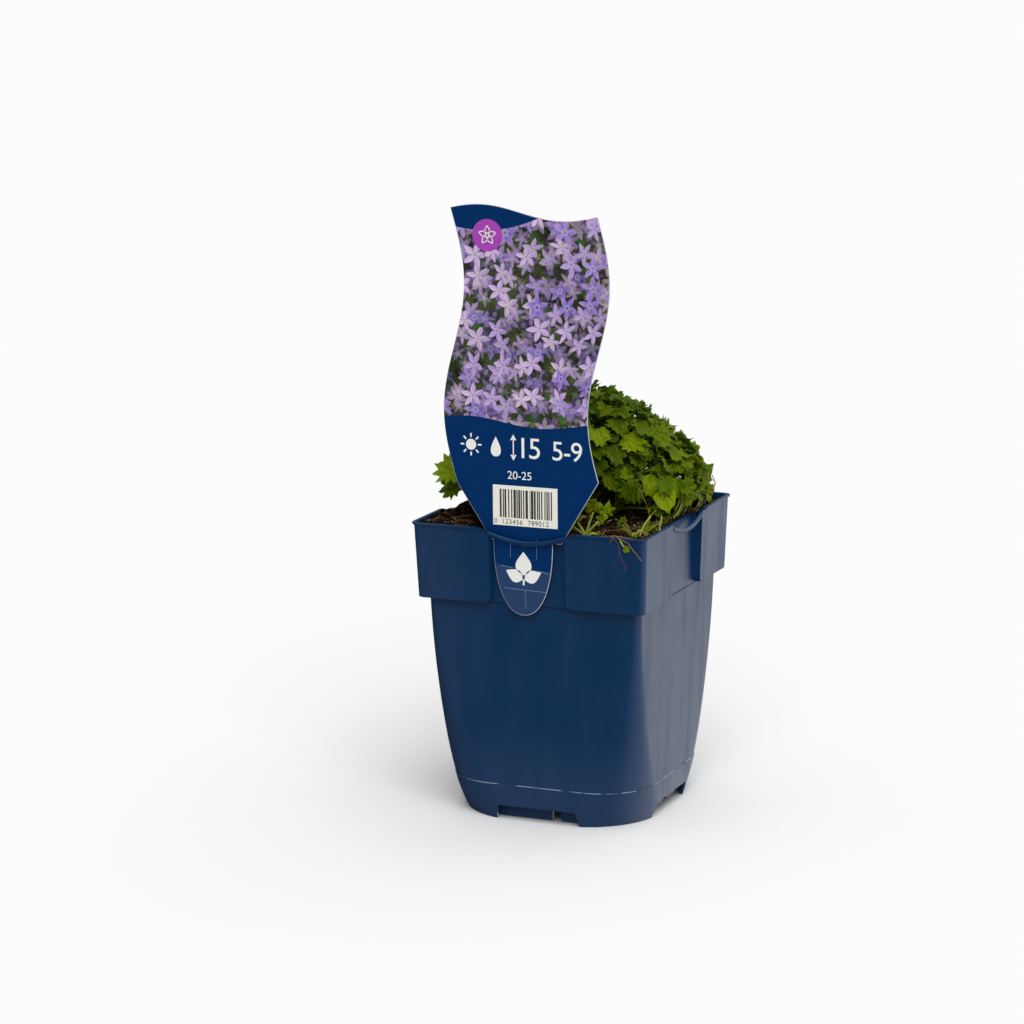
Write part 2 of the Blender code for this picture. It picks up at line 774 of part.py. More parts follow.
def grow_leaves(seedlings):
    """The cushion's leaves, set from the lowest up, each lifted until it clears those already there."""
    rng = random.Random(SEED)
    leaves = []
    for i in range(LEAF_COUNT):
        leaves.append(
            {
                "share": math.sqrt((i + 0.5) / LEAF_COUNT),
                "turn": i * GOLDEN_ANGLE + rng.uniform(-0.12, 0.12),
                "length": rng.uniform(*LEAF_LENGTH),
                "teeth": TEETH,
                "tilt": math.radians(rng.uniform(12, 38)),
                "veer": math.radians(rng.uniform(-32, 32)),
                "roll": math.radians(rng.uniform(-20, 20)),
                "fold": rng.uniform(0.10, 0.26),
                "droop": rng.uniform(0.05, 0.22),
                "foot_height": rng.uniform(0.0005, 0.0024),
                "foot_reach": 0.0015,
            }
        )
    stems = stem_places()
    pegs = [peg_tree(stem) for stem in stems]
    placed = list(seedlings)
    for leaf in reversed(leaves):
        leaf["shoot"] = nearest_shoot(leaf["share"], leaf["turn"])
        others = [peg for k, peg in enumerate(pegs) if k != leaf["shoot"]]
        if settle(leaf, stems, placed, others):
            placed.append(leaf)
    return placed[len(seedlings) :]


def peg_tree(stem):
    """A stem's peg with room round it, to keep the other shoots' leaves off it."""
    x, y = stem
    centre = Vector((x, y, soil_height(x, y)))
    reach = STEM_RADIUS + CLEARANCE
    corners = []
    for z in (-0.002, STEM_HEIGHT + CLEARANCE):
        for i in range(6):
            turn = math.pi / 3 * i
            corners.append(centre + Vector((reach * math.cos(turn), reach * math.sin(turn), z)))
    sides = [(i, (i + 1) % 6, (i + 1) % 6 + 6, i + 6) for i in range(6)]
    return BVHTree.FromPolygons(corners, [*sides, (6, 7, 8, 9, 10, 11)])


def settle(leaf, stems, placed, pegs):
    """Tries the leaf higher and higher, a little to each side, until nothing is in its way."""
    for attempt in range(LIFT_TRIES):
        for swing, sway in SIDESTEPS:
            aim_leaf(leaf, (attempt - 3) * LIFT_STEP, swing)
            route_stalk(leaf, stems[leaf["shoot"]], sway)
            if folds_back(leaf):
                continue
            thick = BLADE_THICKNESS + 2 * CLEARANCE
            wide = leaf_solid(leaf, thick, 1.07)
            if not in_bounds(wide[0][:-6]):
                continue
            tree = BVHTree.FromPolygons(*wide)
            if any(tree.overlap(peg) for peg in pegs):
                continue
            blade = blade_tree(leaf, *wide)
            if not any(touches(leaf, tree, blade, other) for other in placed):
                record_trees(leaf)
                return True
    return False


def record_trees(leaf):
    points, faces = leaf_solid(leaf, BLADE_THICKNESS)
    leaf["tree"] = BVHTree.FromPolygons(points, faces)
    leaf["blade_tree"] = blade_tree(leaf, points, faces)


def blade_tree(leaf, points, faces):
    """The blade alone, without its stalk."""
    stalk_faces = 3 * len(leaf["stalk"]) + 1
    return BVHTree.FromPolygons(points, faces[:-stalk_faces])


def touches(leaf, tree, blade, other):
    """Whether the leaf meets the other one; the stalks of one shoot may meet each other."""
    if leaf["shoot"] == other["shoot"]:
        return bool(tree.overlap(other["blade_tree"]) or blade.overlap(other["tree"]))
    return bool(tree.overlap(other["tree"]))


def mesh_from(name, points, faces):
    mesh = bpy.data.meshes.new(name)
    mesh.from_pydata([tuple(p) for p in points], [], faces)
    bm = bmesh.new()
    bm.from_mesh(mesh)
    bmesh.ops.triangulate(bm, faces=bm.faces, quad_method="FIXED")
    bmesh.ops.recalc_face_normals(bm, faces=bm.faces)
    bm.to_mesh(mesh)
    bm.free()
    return mesh


def fuse(obj, pieces):
    """Joins the pieces to obj with one union, and removes them."""
    group = bpy.data.collections.new("to fuse")
    bpy.context.scene.collection.children.link(group)
    for piece in pieces:
        group.objects.link(piece)
    modifier = obj.modifiers.new("union", "BOOLEAN")
    modifier.operation = "UNION"
    modifier.operand_type = "COLLECTION"
    modifier.collection = group
    modifier.solver = "EXACT"
    graph = bpy.context.evaluated_depsgraph_get()
    joined = bpy.data.meshes.new_from_object(obj.evaluated_get(graph))
    obj.modifiers.clear()
    obj.data = joined
    for piece in pieces:
        bpy.data.objects.remove(piece)
    bpy.data.collections.remove(group)


def make_shoot(name, parts, finish, stem, radius, height, leaves):
    """A stem standing in its hole, with its leaves fused to it."""
    peg = stem_mesh(name, radius, -STEM_DEPTH, height, [stem])
    shoot = new_object(name, peg, parts, finish)
    pieces = []
    for i, leaf in enumerate(leaves):
        points, faces = leaf_solid(leaf, BLADE_THICKNESS)
        mesh = mesh_from(f"{name}_leaf_{i}", points, faces)
        pieces.append(bpy.data.objects.new(mesh.name, mesh))
    fuse(shoot, pieces)


def grass_blade(name, tip):
    """A thin tapering blade that leaves its stem upwards and arches over to its tip."""
    foot = Vector((*GRASS_PLACE, soil_height(*GRASS_PLACE)))
    head = foot + Vector(tip)
    bend = foot + Vector((tip[0] * 0.2, tip[1] * 0.2, tip[2] * 0.9))
    curve = bpy.data.curves.new(name, "CURVE")
    curve.dimensions = "3D"
    curve.bevel_depth = GRASS_RADIUS
    curve.bevel_resolution = 0
    curve.use_fill_caps = True
    spline = curve.splines.new("POLY")
    spline.points.add(5)
    for i, point in enumerate(spline.points):
        t = i / 5
        place = foot * (1 - t) ** 2 + bend * 2 * t * (1 - t) + head * t**2
        point.co = (*place, 1)
        point.radius = 1 - 0.25 * t
    holder = bpy.data.objects.new(name, curve)
    bpy.context.scene.collection.objects.link(holder)
    graph = bpy.context.evaluated_depsgraph_get()
    mesh = bpy.data.meshes.new_from_object(holder.evaluated_get(graph))
    bpy.data.objects.remove(holder)
    bm = bmesh.new()
    bm.from_mesh(mesh)
    bmesh.ops.remove_doubles(bm, verts=bm.verts, dist=0.00001)
    bm.to_mesh(mesh)
    bm.free()
    return bpy.data.objects.new(name, mesh)


def make_grass(parts, finish):
    radius, height = SEEDLING_STEM_RADIUS, SEEDLING_STEM_HEIGHT
    peg = stem_mesh("grass", radius, -STEM_DEPTH, height, [GRASS_PLACE])
    grass = new_object("grass", peg, parts, finish)
    fuse(grass, [grass_blade(f"grass_blade_{i}", tip) for i, tip in enumerate(GRASS_TIPS)])


def main():
    clear_scene()
    parts = bpy.data.collections.new("potted bellflower")
    cutters = bpy.data.collections.new("cutters")
    for collection in (parts, cutters):
        bpy.context.scene.collection.children.link(collection)
    make_pot(parts, cutters, material("navy_plastic", NAVY, 0.42))
    make_label(parts, material("printed_card", CARD_BLUE, 0.35))
    make_soil(parts, cutters, material("compost", COMPOST, 0.95))
    seedlings = seedling_leaves()
    leaves = grow_leaves([leaf for own in seedlings for leaf in own])
    green = material("leaf", LEAF_GREEN, 0.45)
    for k, stem in enumerate(stem_places()):
        own = [leaf for leaf in leaves if leaf["shoot"] == k]
        name = f"leafy_shoot_{k + 1:02d}"
        make_shoot(name, parts, green, stem, STEM_RADIUS, STEM_HEIGHT, own)
    pale = material("young_leaf", SEEDLING_GREEN, 0.5)
    for k, (stem, _) in enumerate(SEEDLINGS):
        name = f"seedling_{k + 1}"
        radius, height = SEEDLING_STEM_RADIUS, SEEDLING_STEM_HEIGHT
        make_shoot(name, parts, pale, stem, radius, height, seedlings[k])
    make_grass(parts, pale)


main()
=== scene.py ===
"""Dresses the potted bellflower: pot, picture label, compost, leafy shoots and stage.

Metres, +Z up. The origin is the middle of the pot's footprint on the ground, and the label
stands at the -Y side.
"""

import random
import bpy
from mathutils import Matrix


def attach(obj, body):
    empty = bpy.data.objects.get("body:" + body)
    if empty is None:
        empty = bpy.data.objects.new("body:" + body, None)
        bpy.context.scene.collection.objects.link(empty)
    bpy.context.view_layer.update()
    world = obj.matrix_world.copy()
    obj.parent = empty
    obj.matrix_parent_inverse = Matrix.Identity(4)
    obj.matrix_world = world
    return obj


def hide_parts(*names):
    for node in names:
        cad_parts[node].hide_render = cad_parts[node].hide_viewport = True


bl_info = {
    "name": "Potted bellflower",
    "version": (1, 0, 0),
    "blender": (4, 5, 0),
    "location": "View3D > Sidebar > Bellflower",
    "description": "Dresses the potted bellflower with its finished pieces and materials",
    "category": "Object",
}

from math import acos, atan2, cos, exp, hypot, pi, radians, remainder, sin, sqrt

import bmesh
import bpy
from bpy.props import FloatProperty, FloatVectorProperty, IntProperty, PointerProperty
from mathutils import Matrix, Vector, noise
from mathutils.bvhtree import BVHTree

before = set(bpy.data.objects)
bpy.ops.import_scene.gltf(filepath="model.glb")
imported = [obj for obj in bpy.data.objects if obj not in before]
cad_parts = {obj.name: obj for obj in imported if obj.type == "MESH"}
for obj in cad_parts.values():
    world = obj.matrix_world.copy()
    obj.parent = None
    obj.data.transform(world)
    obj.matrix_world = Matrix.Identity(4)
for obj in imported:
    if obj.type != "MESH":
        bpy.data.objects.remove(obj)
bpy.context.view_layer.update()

# Pot: a square collar over a body whose corners open out into a nearly round foot
POT_HEIGHT = 0.133
RIM_HALF = 0.055
LIP_HEIGHT = 0.0012
COLLAR_TOP_HALF = 0.0544
COLLAR_FOOT_HALF = 0.0531
COLLAR_FOOT_Z = 0.0994
COLLAR_CORNER = 0.004
BODY_TOP_HALF = 0.0497
BODY_TAPER = 0.0029
FOOT_TUCK = 0.0022
BODY_TOP_CORNER = 0.0054
FOOT_CORNER_GROWTH = 0.0273
WALL = 0.0012
FLOOR_UNDERSIDE = 0.0072
FLOOR_TOP = 0.0087
PLINTH_TOP = 0.0165
PLINTH_STEP = 0.0003
RECESS_FACE = 0.0503
RECESS_HALF_TOP = 0.0168
RECESS_HALF_FOOT = 0.0170
PANEL_CORNER = 0.0035
INNER_WALL_TOP = 0.1308
DIP_HALF = 0.024
DIP_DEPTH = 0.0045
STRAP_RADIUS = 0.0011
STRAP_HALF = 0.0184
STRAP_SEAT = 0.0536
STRAP_BOW = 0.0003
NOTCH_HALF_TOP = 0.0184
NOTCH_HALF_FOOT = 0.0200
NOTCH_HEIGHT = 0.0067
RING_HALF = 0.0400
RING_CORNER = 0.0240
RING_CLEARANCE = 0.0006
SLOT_HALF = 0.0020
SLOT_OFFSET = 0.0074
DRAIN_RADIUS = 0.0040
DRAIN_SPREAD = 0.0240

# Label: a die-cut card with wavy sides whose tongue hangs behind the front strap
LABEL_Y = -0.0519
LABEL_HALF = 0.0335
LABEL_LEAN = -0.0003
WAVE_SIZE = 0.00515
WAVE_LENGTH = 0.114
WAVE_ZERO_Z = 0.2115
LABEL_TOP_Z = 0.2699
TOP_WAVE_SIZE = 0.00305
TOP_WAVE_LENGTH = 0.075
TOP_WAVE_X = -0.002
TAPER_TOP_Z = 0.1558
SHOULDER_Z = 0.1278
SHOULDER_LEFT_X = -0.0172
SHOULDER_RIGHT_X = 0.0155
TAPER_LEFT = 0.66
TONGUE_X = -0.0024
TONGUE_HALF = 0.0139
TONGUE_FOOT_Z = 0.0952
TONGUE_POWER = 2.2

# Signs on the card: middle of the badge, of the sun and of the drop, and the code's panel
BADGE = (-0.0174, 0.2597)
BADGE_RADIUS = 0.0070
SUN = (-0.0262, 0.1690)
DROP = (-0.0146, 0.1688)
ARROW_X = -0.0064
FIGURES_Z = 0.1645
CODE_PANEL = (-0.0162, 0.0139, 0.1345, 0.1521)
CODE_BAR = 0.00028
INK_RISE = 0.00004
CREASES = [
    ((-0.0083, 0.1205), (-0.0083, 0.1292), 0.00016),
    ((0.0040, 0.1205), (0.0040, 0.1292), 0.00016),
    ((-0.0128, 0.1168), (-0.0078, 0.1159), 0.00020),
    ((0.0046, 0.1152), (0.0096, 0.1146), 0.00020),
    ((-0.0112, 0.1068), (0.0086, 0.1062), 0.00022),
    ((-0.0012, 0.0985), (-0.0016, 0.1062), 0.00016),
]
PRINT_EDGE = 0.00008
# The printed blooms, from the blurred ones at the back to the sharp pale ones in front:
# spacing, shift, size, blur, light and cover
BLOOM_LAYERS = [
    (0.0098, (0.0, 0.0, 0.0), 0.47, 0.40, 0.22, 0.85),
    (0.0106, (7.3, 2.1, 0.0), 0.48, 0.30, 0.36, 0.90),
    (0.0112, (3.9, 8.8, 0.0), 0.50, 0.20, 0.52, 0.95),
    (0.0118, (11.2, 4.4, 0.0), 0.50, 0.12, 0.68, 1.0),
    (0.0124, (5.6, 13.1, 0.0), 0.50, 0.08, 0.84, 1.0),
    (0.0134, (2.2, 19.4, 0.0), 0.48, 0.06, 1.00, 1.0),
    (0.0150, (9.1, 17.7, 0.0), 0.45, 0.05, 1.15, 1.0),
]
GLOOM_LAYER = 4

# Compost and the layout of the leaves, which follow the same rules as the solids
GAP = 0.0003
SOIL_Z = 0.1303
CUSHION_X = 0.0
CUSHION_Y = 0.0065
CUSHION_HALF_X = 0.0545
CUSHION_HALF_Y = 0.0450
CUSHION_FOOT_Z = 0.1370
CUSHION_HEIGHT = 0.0475
CUSHION_SQUARENESS = 4.5
BARE_TURN = radians(-50)
BARE_DEPTH = 0.48
BARE_SPREAD = 0.75
LOWEST_LEAF = radians(95)
ROOT_SPREAD = 0.42
GOLDEN_ANGLE = pi * (3 - sqrt(5))
SHOOT_COUNT = 15
LEAF_LENGTH = (0.0098, 0.0142)
TEETH = 3
LEAF_WIDTH = 1.04
BLADE_SWEEP = radians(158)
BLADE_THICKNESS = 0.0006
STALK_HALF = 0.00045
STALK_SLANT = 1.5
STEM_RADIUS = 0.0024
STEM_HEIGHT = 0.0032
LIFT_STEP = 0.0008
LIFT_TRIES = 11
SIDESTEPS = [(0.0, 0.0), (0.07, 0.0), (-0.07, 0.0), (0.0, 0.005), (0.0, -0.005)]
SIDESTEPS += [(0.12, 0.003), (-0.12, -0.003)]
CLEARANCE = 0.00045
PEG_DEPTH = -0.0078
# The solids' seedlings: stem, and for each leaf its offset, way and length
SEEDLINGS = [
    ((0.0273, -0.0384), [
        ((-0.0036, -0.0012, 0.0112), (-0.5, -0.5, 0.35), 0.0066),
        ((-0.0080, -0.0036, 0.0070), (-0.9, -0.3, 0.05), 0.0054),
        ((0.0024, 0.0010, 0.0100), (0.8, -0.3, -0.25), 0.0068),
    ]),
    ((0.0452, -0.0406), [
        ((-0.0050, -0.0022, 0.0058), (-0.9, -0.3, 0.15), 0.0046),
        ((0.0004, 0.0002, 0.0072), (-0.3, -0.6, 0.45), 0.0042),
    ]),
]
# Where the fine seedlings stand, and their leaves: base, way to the tip and length
SEEDLING_CROWNS = [(0.0222, -0.0408), (0.0436, -0.0408)]
SEEDLING_HEADS = [
    [
        ((0.0182, -0.0402, 0.1352), (-0.35, -0.10, 0.80), 0.0056),
        ((0.0255, -0.0400, 0.1400), (0.05, -0.15, 0.90), 0.0072),
        ((0.0312, -0.0395, 0.1392), (0.15, 0.10, 0.95), 0.0066),
        ((0.0278, -0.0405, 0.1362), (0.65, -0.20, 0.55), 0.0058),
        ((0.0168, -0.0404, 0.1330), (-0.75, -0.10, 0.25), 0.0040),
    ],
    [
        ((0.0400, -0.0425, 0.1362), (-0.90, -0.05, 0.30), 0.0030),
        ((0.0408, -0.0422, 0.1372), (-0.45, -0.10, 0.80), 0.0032),
        ((0.0398, -0.0428, 0.1350), (-0.80, -0.20, -0.35), 0.0024),
    ],
]
GRASS_PLACE = (0.0485, -0.0370)
GRASS_TIPS = [(0.0035, 0.0030, 0.0108), (0.0052, 0.0046, 0.0052)]
GRASS_LOOPS = [
    ((0.0466, -0.0398, 0.1305), (0.0474, -0.0395, 0.1350), (0.0506, -0.0372, 0.1400)),
    ((0.0446, -0.0405, 0.1305), (0.0470, -0.0395, 0.1370), (0.0492, -0.0372, 0.1308)),
]
# Planes that the right of the cushion stays behind: normal and distance from the origin
SHOULDER_PLANES = [
    ((0.620, 0.365, 0.695), 0.1490),
    ((0.202, 0.251, 0.947), 0.1815),
    ((0.940, 0.340, 0.001), 0.0613),
]
SHOULDER_SHIFT = 0.0060
# Points on the ripe leaf that insects have bitten, along and across it
PITS = [(0.17, 0.10), (0.27, -0.15), (0.34, 0.06), (0.46, -0.07), (0.40, 0.19)]
LARGE_RINGS = (0.28, 0.50, 0.70, 0.86, 1.0)
SMALL_RINGS = (0.40, 0.74, 1.0)
LOW_RINGS = (0.30, 0.55, 0.76, 0.90, 1.0)
# Leaves that reach out: base, tip, stalk's bend and foot, whether it faces up, teeth, their
# depth, width, tone and youth
LOW_LEAVES = [
    ((0.0440, -0.0060, 0.1450), (0.0484, -0.0096, 0.1372), (0.0400, -0.0040, 0.1480),
     (0.0330, 0.0040, 0.1310), False, 1, 0.25, 1.02, 1.0, 1.15),
    ((0.0351, -0.0135, 0.1502), (0.0299, -0.0145, 0.1390), (0.0352, -0.0100, 0.1530),
     (0.0290, 0.0050, 0.1305), False, 5, 1.5, 1.12, 0.45, 0.15),
    ((0.0450, -0.0070, 0.1505), (0.0492, -0.0102, 0.1446), (0.0420, -0.0020, 0.1520),
     (0.0340, 0.0060, 0.1310), False, 3, 1.0, 1.2, 0.7, 0.25),
    ((0.0486, 0.0130, 0.1500), (0.0430, 0.0140, 0.1575), (0.0480, 0.0120, 0.1420),
     (0.0440, 0.0080, 0.1305), True, 4, 0.9, 1.3, 0.9, 0.5),
    ((0.0503, 0.0280, 0.1468), (0.0470, 0.0280, 0.1390), (0.0470, 0.0260, 0.1490),
     (0.0400, 0.0200, 0.1305), False, 3, 0.9, 1.1, 0.8, 0.5),
    ((0.0478, 0.0400, 0.1360), (0.0488, 0.0478, 0.1318), (0.0482, 0.0260, 0.1425),
     (0.0470, 0.0050, 0.1315), False, 2, 0.6, 1.1, 1.0, 1.0),
    ((-0.0375, -0.0360, 0.1515), (-0.0518, -0.0360, 0.1568), (-0.0330, -0.0330, 0.1490),
     (-0.0260, -0.0200, 0.1305), False, 4, 1.6, 1.12, 0.9, 0.65),
    ((-0.0375, -0.0340, 0.1486), (-0.0514, -0.0340, 0.1430), (-0.0330, -0.0310, 0.1470),
     (-0.0260, -0.0180, 0.1305), False, 4, 1.3, 0.84, 0.34, 0.12),
]
# Roots over the rim, then stalks that stand at the right: thickness, tint and route, and for
# some how much they taper and wander
HANG_Y = -0.05555
STRANDS = [
    (0.00013, (0.75, 0.05, 0.0),
     [(0.0340, -0.0500, 0.1318), (0.0360, -0.0535, 0.1338), (0.0400, -0.0553, 0.1335),
      (0.0434, HANG_Y, 0.1308), (0.0433, HANG_Y, 0.1273), (0.0446, HANG_Y, 0.1240),
      (0.0464, HANG_Y, 0.1215), (0.0465, HANG_Y, 0.1198), (0.0446, HANG_Y, 0.1179)]),
    (0.00028, (0.75, 0.25, 0.0),
     [(0.0385, -0.0510, 0.1325), (0.0415, -0.0545, 0.1338), (0.0474, HANG_Y, 0.1316),
      (0.0501, HANG_Y, 0.1283), (0.0537, HANG_Y, 0.1242)], 0.3, 0.0001),
    (0.00030, (0.9, 0.45, 0.0),
     [(0.0330, -0.0505, 0.1322), (0.0400, -0.0520, 0.1336), (0.0482, -0.0500, 0.1322)]),
    (0.00016, (0.8, 0.2, 0.0),
     [(0.0345, -0.0490, 0.1318), (0.0385, -0.0530, 0.1337), (0.0402, HANG_Y, 0.1322),
      (0.0388, HANG_Y, 0.1309)]),
    (0.00024, (0.7, 0.4, 0.8),
     [(0.0415, -0.0515, 0.1328), (0.0436, HANG_Y, 0.1328), (0.0458, HANG_Y, 0.1300)]),
    (0.00046, (0.7, 1.0, 0.0),
     [(0.0500, -0.0252, 0.1290), (0.0500, -0.0245, 0.1335), (0.0500, -0.0214, 0.1368)]),
    (0.00024, (0.7, 0.35, 0.5),
     [(0.0478, 0.0120, 0.1320), (0.0482, 0.0200, 0.1370), (0.0478, 0.0290, 0.1425)]),
    (0.00036, (0.6, 1.0, 0.0),
     [(0.0482, 0.0330, 0.1300), (0.0484, 0.0325, 0.1345), (0.0478, 0.0320, 0.1385)]),
    (0.00026, (0.8, 0.15, 0.2),
     [(0.0476, 0.0070, 0.1325), (0.0484, 0.0080, 0.1390), (0.0476, 0.0110, 0.1460)]),
    (0.00022, (0.9, 0.20, 0.6),
     [(0.0482, 0.0200, 0.1310), (0.0486, 0.0180, 0.1350), (0.0470, 0.0140, 0.1410)]),
    (0.00030, (0.6, 0.50, 0.9),
     [(0.0470, 0.0010, 0.1310), (0.0480, 0.0050, 0.1350), (0.0484, 0.0130, 0.1378)]),
    (0.00034, (0.7, 0.35, 0.0),
     [(0.0470, 0.0480, 0.1300), (0.0475, 0.0500, 0.1350), (0.0480, 0.0520, 0.1375),
      (0.0470, 0.0515, 0.1405), (0.0468, 0.0500, 0.1425)]),
    (0.00024, (0.7, 0.2, 0.0),
     [(0.0475, 0.0500, 0.1350), (0.0472, 0.0470, 0.1380), (0.0470, 0.0438, 0.1408)]),
    (0.00021, (0.9, 0.12, 0.0),
     [(0.0410, -0.0270, 0.1500), (0.0440, -0.0285, 0.1465), (0.0462, -0.0290, 0.1420),
      (0.0480, -0.0285, 0.1310)]),
]
MOSS_HOMES = [(0.047, -0.014), (0.049, 0.002), (0.046, 0.016), (0.046, -0.006)]
MOSS_HOMES += [(0.044, -0.020), (-0.045, 0.030), (0.0, 0.047)]


def length_of(name, words, value):
    return FloatProperty(name=name, description=words, default=value, unit="LENGTH")


def colour_of(name, words, value):
    return FloatVectorProperty(name=name, description=words, default=value, subtype="COLOR")


def count_of(name, words, value):
    return IntProperty(name=name, description=words, default=value)


def share_of(name, words, value=1.0):
    return FloatProperty(name=name, description=words, default=value)


class PotSettings(bpy.types.PropertyGroup):
    wall: length_of("Wall", "Thickness of the plastic", WALL)
    corner_steps: count_of("Corner steps", "Facets in a corner", 14)
    edge: length_of("Edge", "Radius of the moulded edges", 0.00022)
    plastic: colour_of("Plastic", "Colour of the pot", (0.0006, 0.0245, 0.0800))


class LabelSettings(bpy.types.PropertyGroup):
    thickness: length_of("Thickness", "Thickness of the card", 0.0006)
    card: colour_of("Card", "Printed ground", (0.0003, 0.0225, 0.0980))
    disc: colour_of("Disc", "Round badge", (0.330, 0.055, 0.380))
    bloom: colour_of("Bloom", "Printed petals", (0.380, 0.260, 0.600))


class CompostSettings(bpy.types.PropertyGroup):
    seed: count_of("Seed", "Lays out crumbs and fibres", 7)
    crumbs: count_of("Crumbs", "Lumps of peat on the surface", 1500)
    fibres: count_of("Fibres", "Roots and fibres", 900)
    peat: colour_of("Peat", "Colour of the peat", (0.0070, 0.0036, 0.0020))


class CushionSettings(bpy.types.PropertyGroup):
    seed: count_of("Seed", "Lays out the leaves", 116)
    leaves: count_of("Leaves", "Large leaves tried", 160)
    scale: share_of("Leaf scale", "Size of the large leaves")
    small_leaves: count_of("Small leaves", "Small leaves tried", 1080)
    thickness: length_of("Blade", "Thickness of a blade", 0.00032)
    green: colour_of("Green", "Grown leaves", (0.0202, 0.0485, 0.0002))
    young: colour_of("Young", "Young leaves", (0.238, 0.318, 0.002))


class StageSettings(bpy.types.PropertyGroup):
    floor: length_of("Floor", "Radius of the floor", 12.0)
    light: share_of("Light", "Strength of the lamps")
    glow: share_of("Glow", "Strength of the surroundings", 0.3)


def put_object(name, data):
    """An object in the scene with that mesh, curve, lamp or camera."""
    made = bpy.data.objects.new(name, data)
    bpy.context.scene.collection.objects.link(made)
    return made


def link_object(name, mesh, *finishes, slot):
    """Puts a finished mesh into the scene and lets it ride with the pot."""
    for finish in finishes:
        mesh.materials.append(finish)
    made = put_object(name, mesh)
    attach(made, "root")
    return made


def mesh_from(bm, name):
    """The bmesh as a mesh of its own."""
    mesh = bpy.data.meshes.new(name)
    bm.to_mesh(mesh)
    bm.free()
    return mesh


def baked_mesh(obj):
    """The object's mesh with its modifiers applied."""
    graph = bpy.context.evaluated_depsgraph_get()
    return bpy.data.meshes.new_from_object(obj.evaluated_get(graph))


def soften(obj, name, width, angle):
    """Rounds the edges that turn by more than the angle, in degrees."""
    bevel = obj.modifiers.new(name, "BEVEL")
    bevel.width = width
    bevel.segments = 2
    bevel.limit_method = "ANGLE"
    bevel.angle_limit = radians(angle)


def tube(path, radii, sides=6):
    """A round stalk, fibre or root along a path: points and faces."""
    points, faces = [], []
    heading = (path[1] - path[0]).normalized()
    side = heading.orthogonal().normalized()
    last = len(path) - 1
    for i, place in enumerate(path):
        heading = (path[min(i + 1, last)] - path[max(i - 1, 0)]).normalized()
        side = (side - heading * side.dot(heading)).normalized()
        across = heading.cross(side)
        for k in range(sides):
            angle = 2 * pi * k / sides
            points.append(place + (side * cos(angle) + across * sin(angle)) * radii[i])
    for i in range(last):
        for k in range(sides):
            here, there = i * sides, (i + 1) * sides
            n = (k + 1) % sides
            faces.append((here + k, here + n, there + n, there + k))
    faces.append(tuple(reversed(range(sides))))
    faces.append(tuple(range(last * sides, (last + 1) * sides)))
    return points, faces


class Heap:
    """Gathers many small shells into one mesh, with a tint and a place for each point."""

    def __init__(self):
        self.points, self.faces, self.tints, self.places = [], [], [], []

    def add(self, points, faces, tint, places=None):
        start = len(self.points)
        self.points.extend(tuple(point) for point in points)
        self.faces.extend(tuple(start + i for i in face) for face in faces)
        self.tints.extend([(*tint, 1.0)] * len(points))
        self.places.extend(places or [(0.0, 0.0, 0.0)] * len(points))

    def tube(self, path, radii, sides, tint, stalk=False):
        """Adds a round root or fibre, or a leaf's stalk, which its place tells apart."""
        points, faces = tube(path, radii, sides)
        self.add(points, faces, tint, [(0.0, 0.0, -1.0)] * len(points) if stalk else None)

    def peg(self, foot, heights, radii, sides, tint):
        """Adds the foot of a stem, which stands in the compost."""
        path = [foot + Vector((0, 0, z)) for z in (PEG_DEPTH, *heights)]
        self.tube(path, radii, sides, tint)

    def mesh(self, name):
        mesh = bpy.data.meshes.new(name)
        mesh.from_pydata(self.points, [], self.faces)
        tints = mesh.attributes.new("tint", "FLOAT_COLOR", "POINT")
        tints.data.foreach_set("color", [value for tint in self.tints for value in tint])
        places = mesh.attributes.new("place", "FLOAT_VECTOR", "POINT")
        places.data.foreach_set("vector", [value for place in self.places for value in place])
        mesh.shade_smooth()
        return mesh

    def link(self, name, finish, slot):
        return link_object(name, self.mesh(name), finish, slot=slot)


def arch(start, bend, end, count):
    """Points along a curve that leaves start towards bend and arrives at end."""
    shares = [i / count for i in range(count + 1)]
    return [start * (1 - t) ** 2 + bend * 2 * t * (1 - t) + end * t**2 for t in shares]


def lays(operation, swapped=False):
    """An operator of Wire that lays a Math node."""

    def laid(self, *other):
        return self.wiring.math(operation, *((*other, self) if swapped else (self, *other)))

    return laid


class Wire:
    """One value in a node tree; arithmetic with it lays Math nodes."""

    def __init__(self, wiring, socket):
        self.wiring, self.socket = wiring, socket

    __add__, __sub__, __mul__ = lays("ADD"), lays("SUBTRACT"), lays("MULTIPLY")
    __truediv__, __abs__ = lays("DIVIDE"), lays("ABSOLUTE")
    __rsub__, __rtruediv__ = lays("SUBTRACT", True), lays("DIVIDE", True)

    def line(self, slope, start):
        """The value times slope, plus start."""
        return self.wiring.math("MULTIPLY_ADD", self, slope, start)

    def step(self, low, high, to_low=0.0, to_high=1.0):
        """Runs smoothly from to_low to to_high while the value goes from low to high."""
        inputs = {"Value": self, "From Min": low, "From Max": high, "To Min": to_low}
        inputs["To Max"] = to_high
        settings = {"interpolation_type": "SMOOTHSTEP", "clamp": True}
        return self.wiring.node("MapRange", inputs, **settings)["Result"]


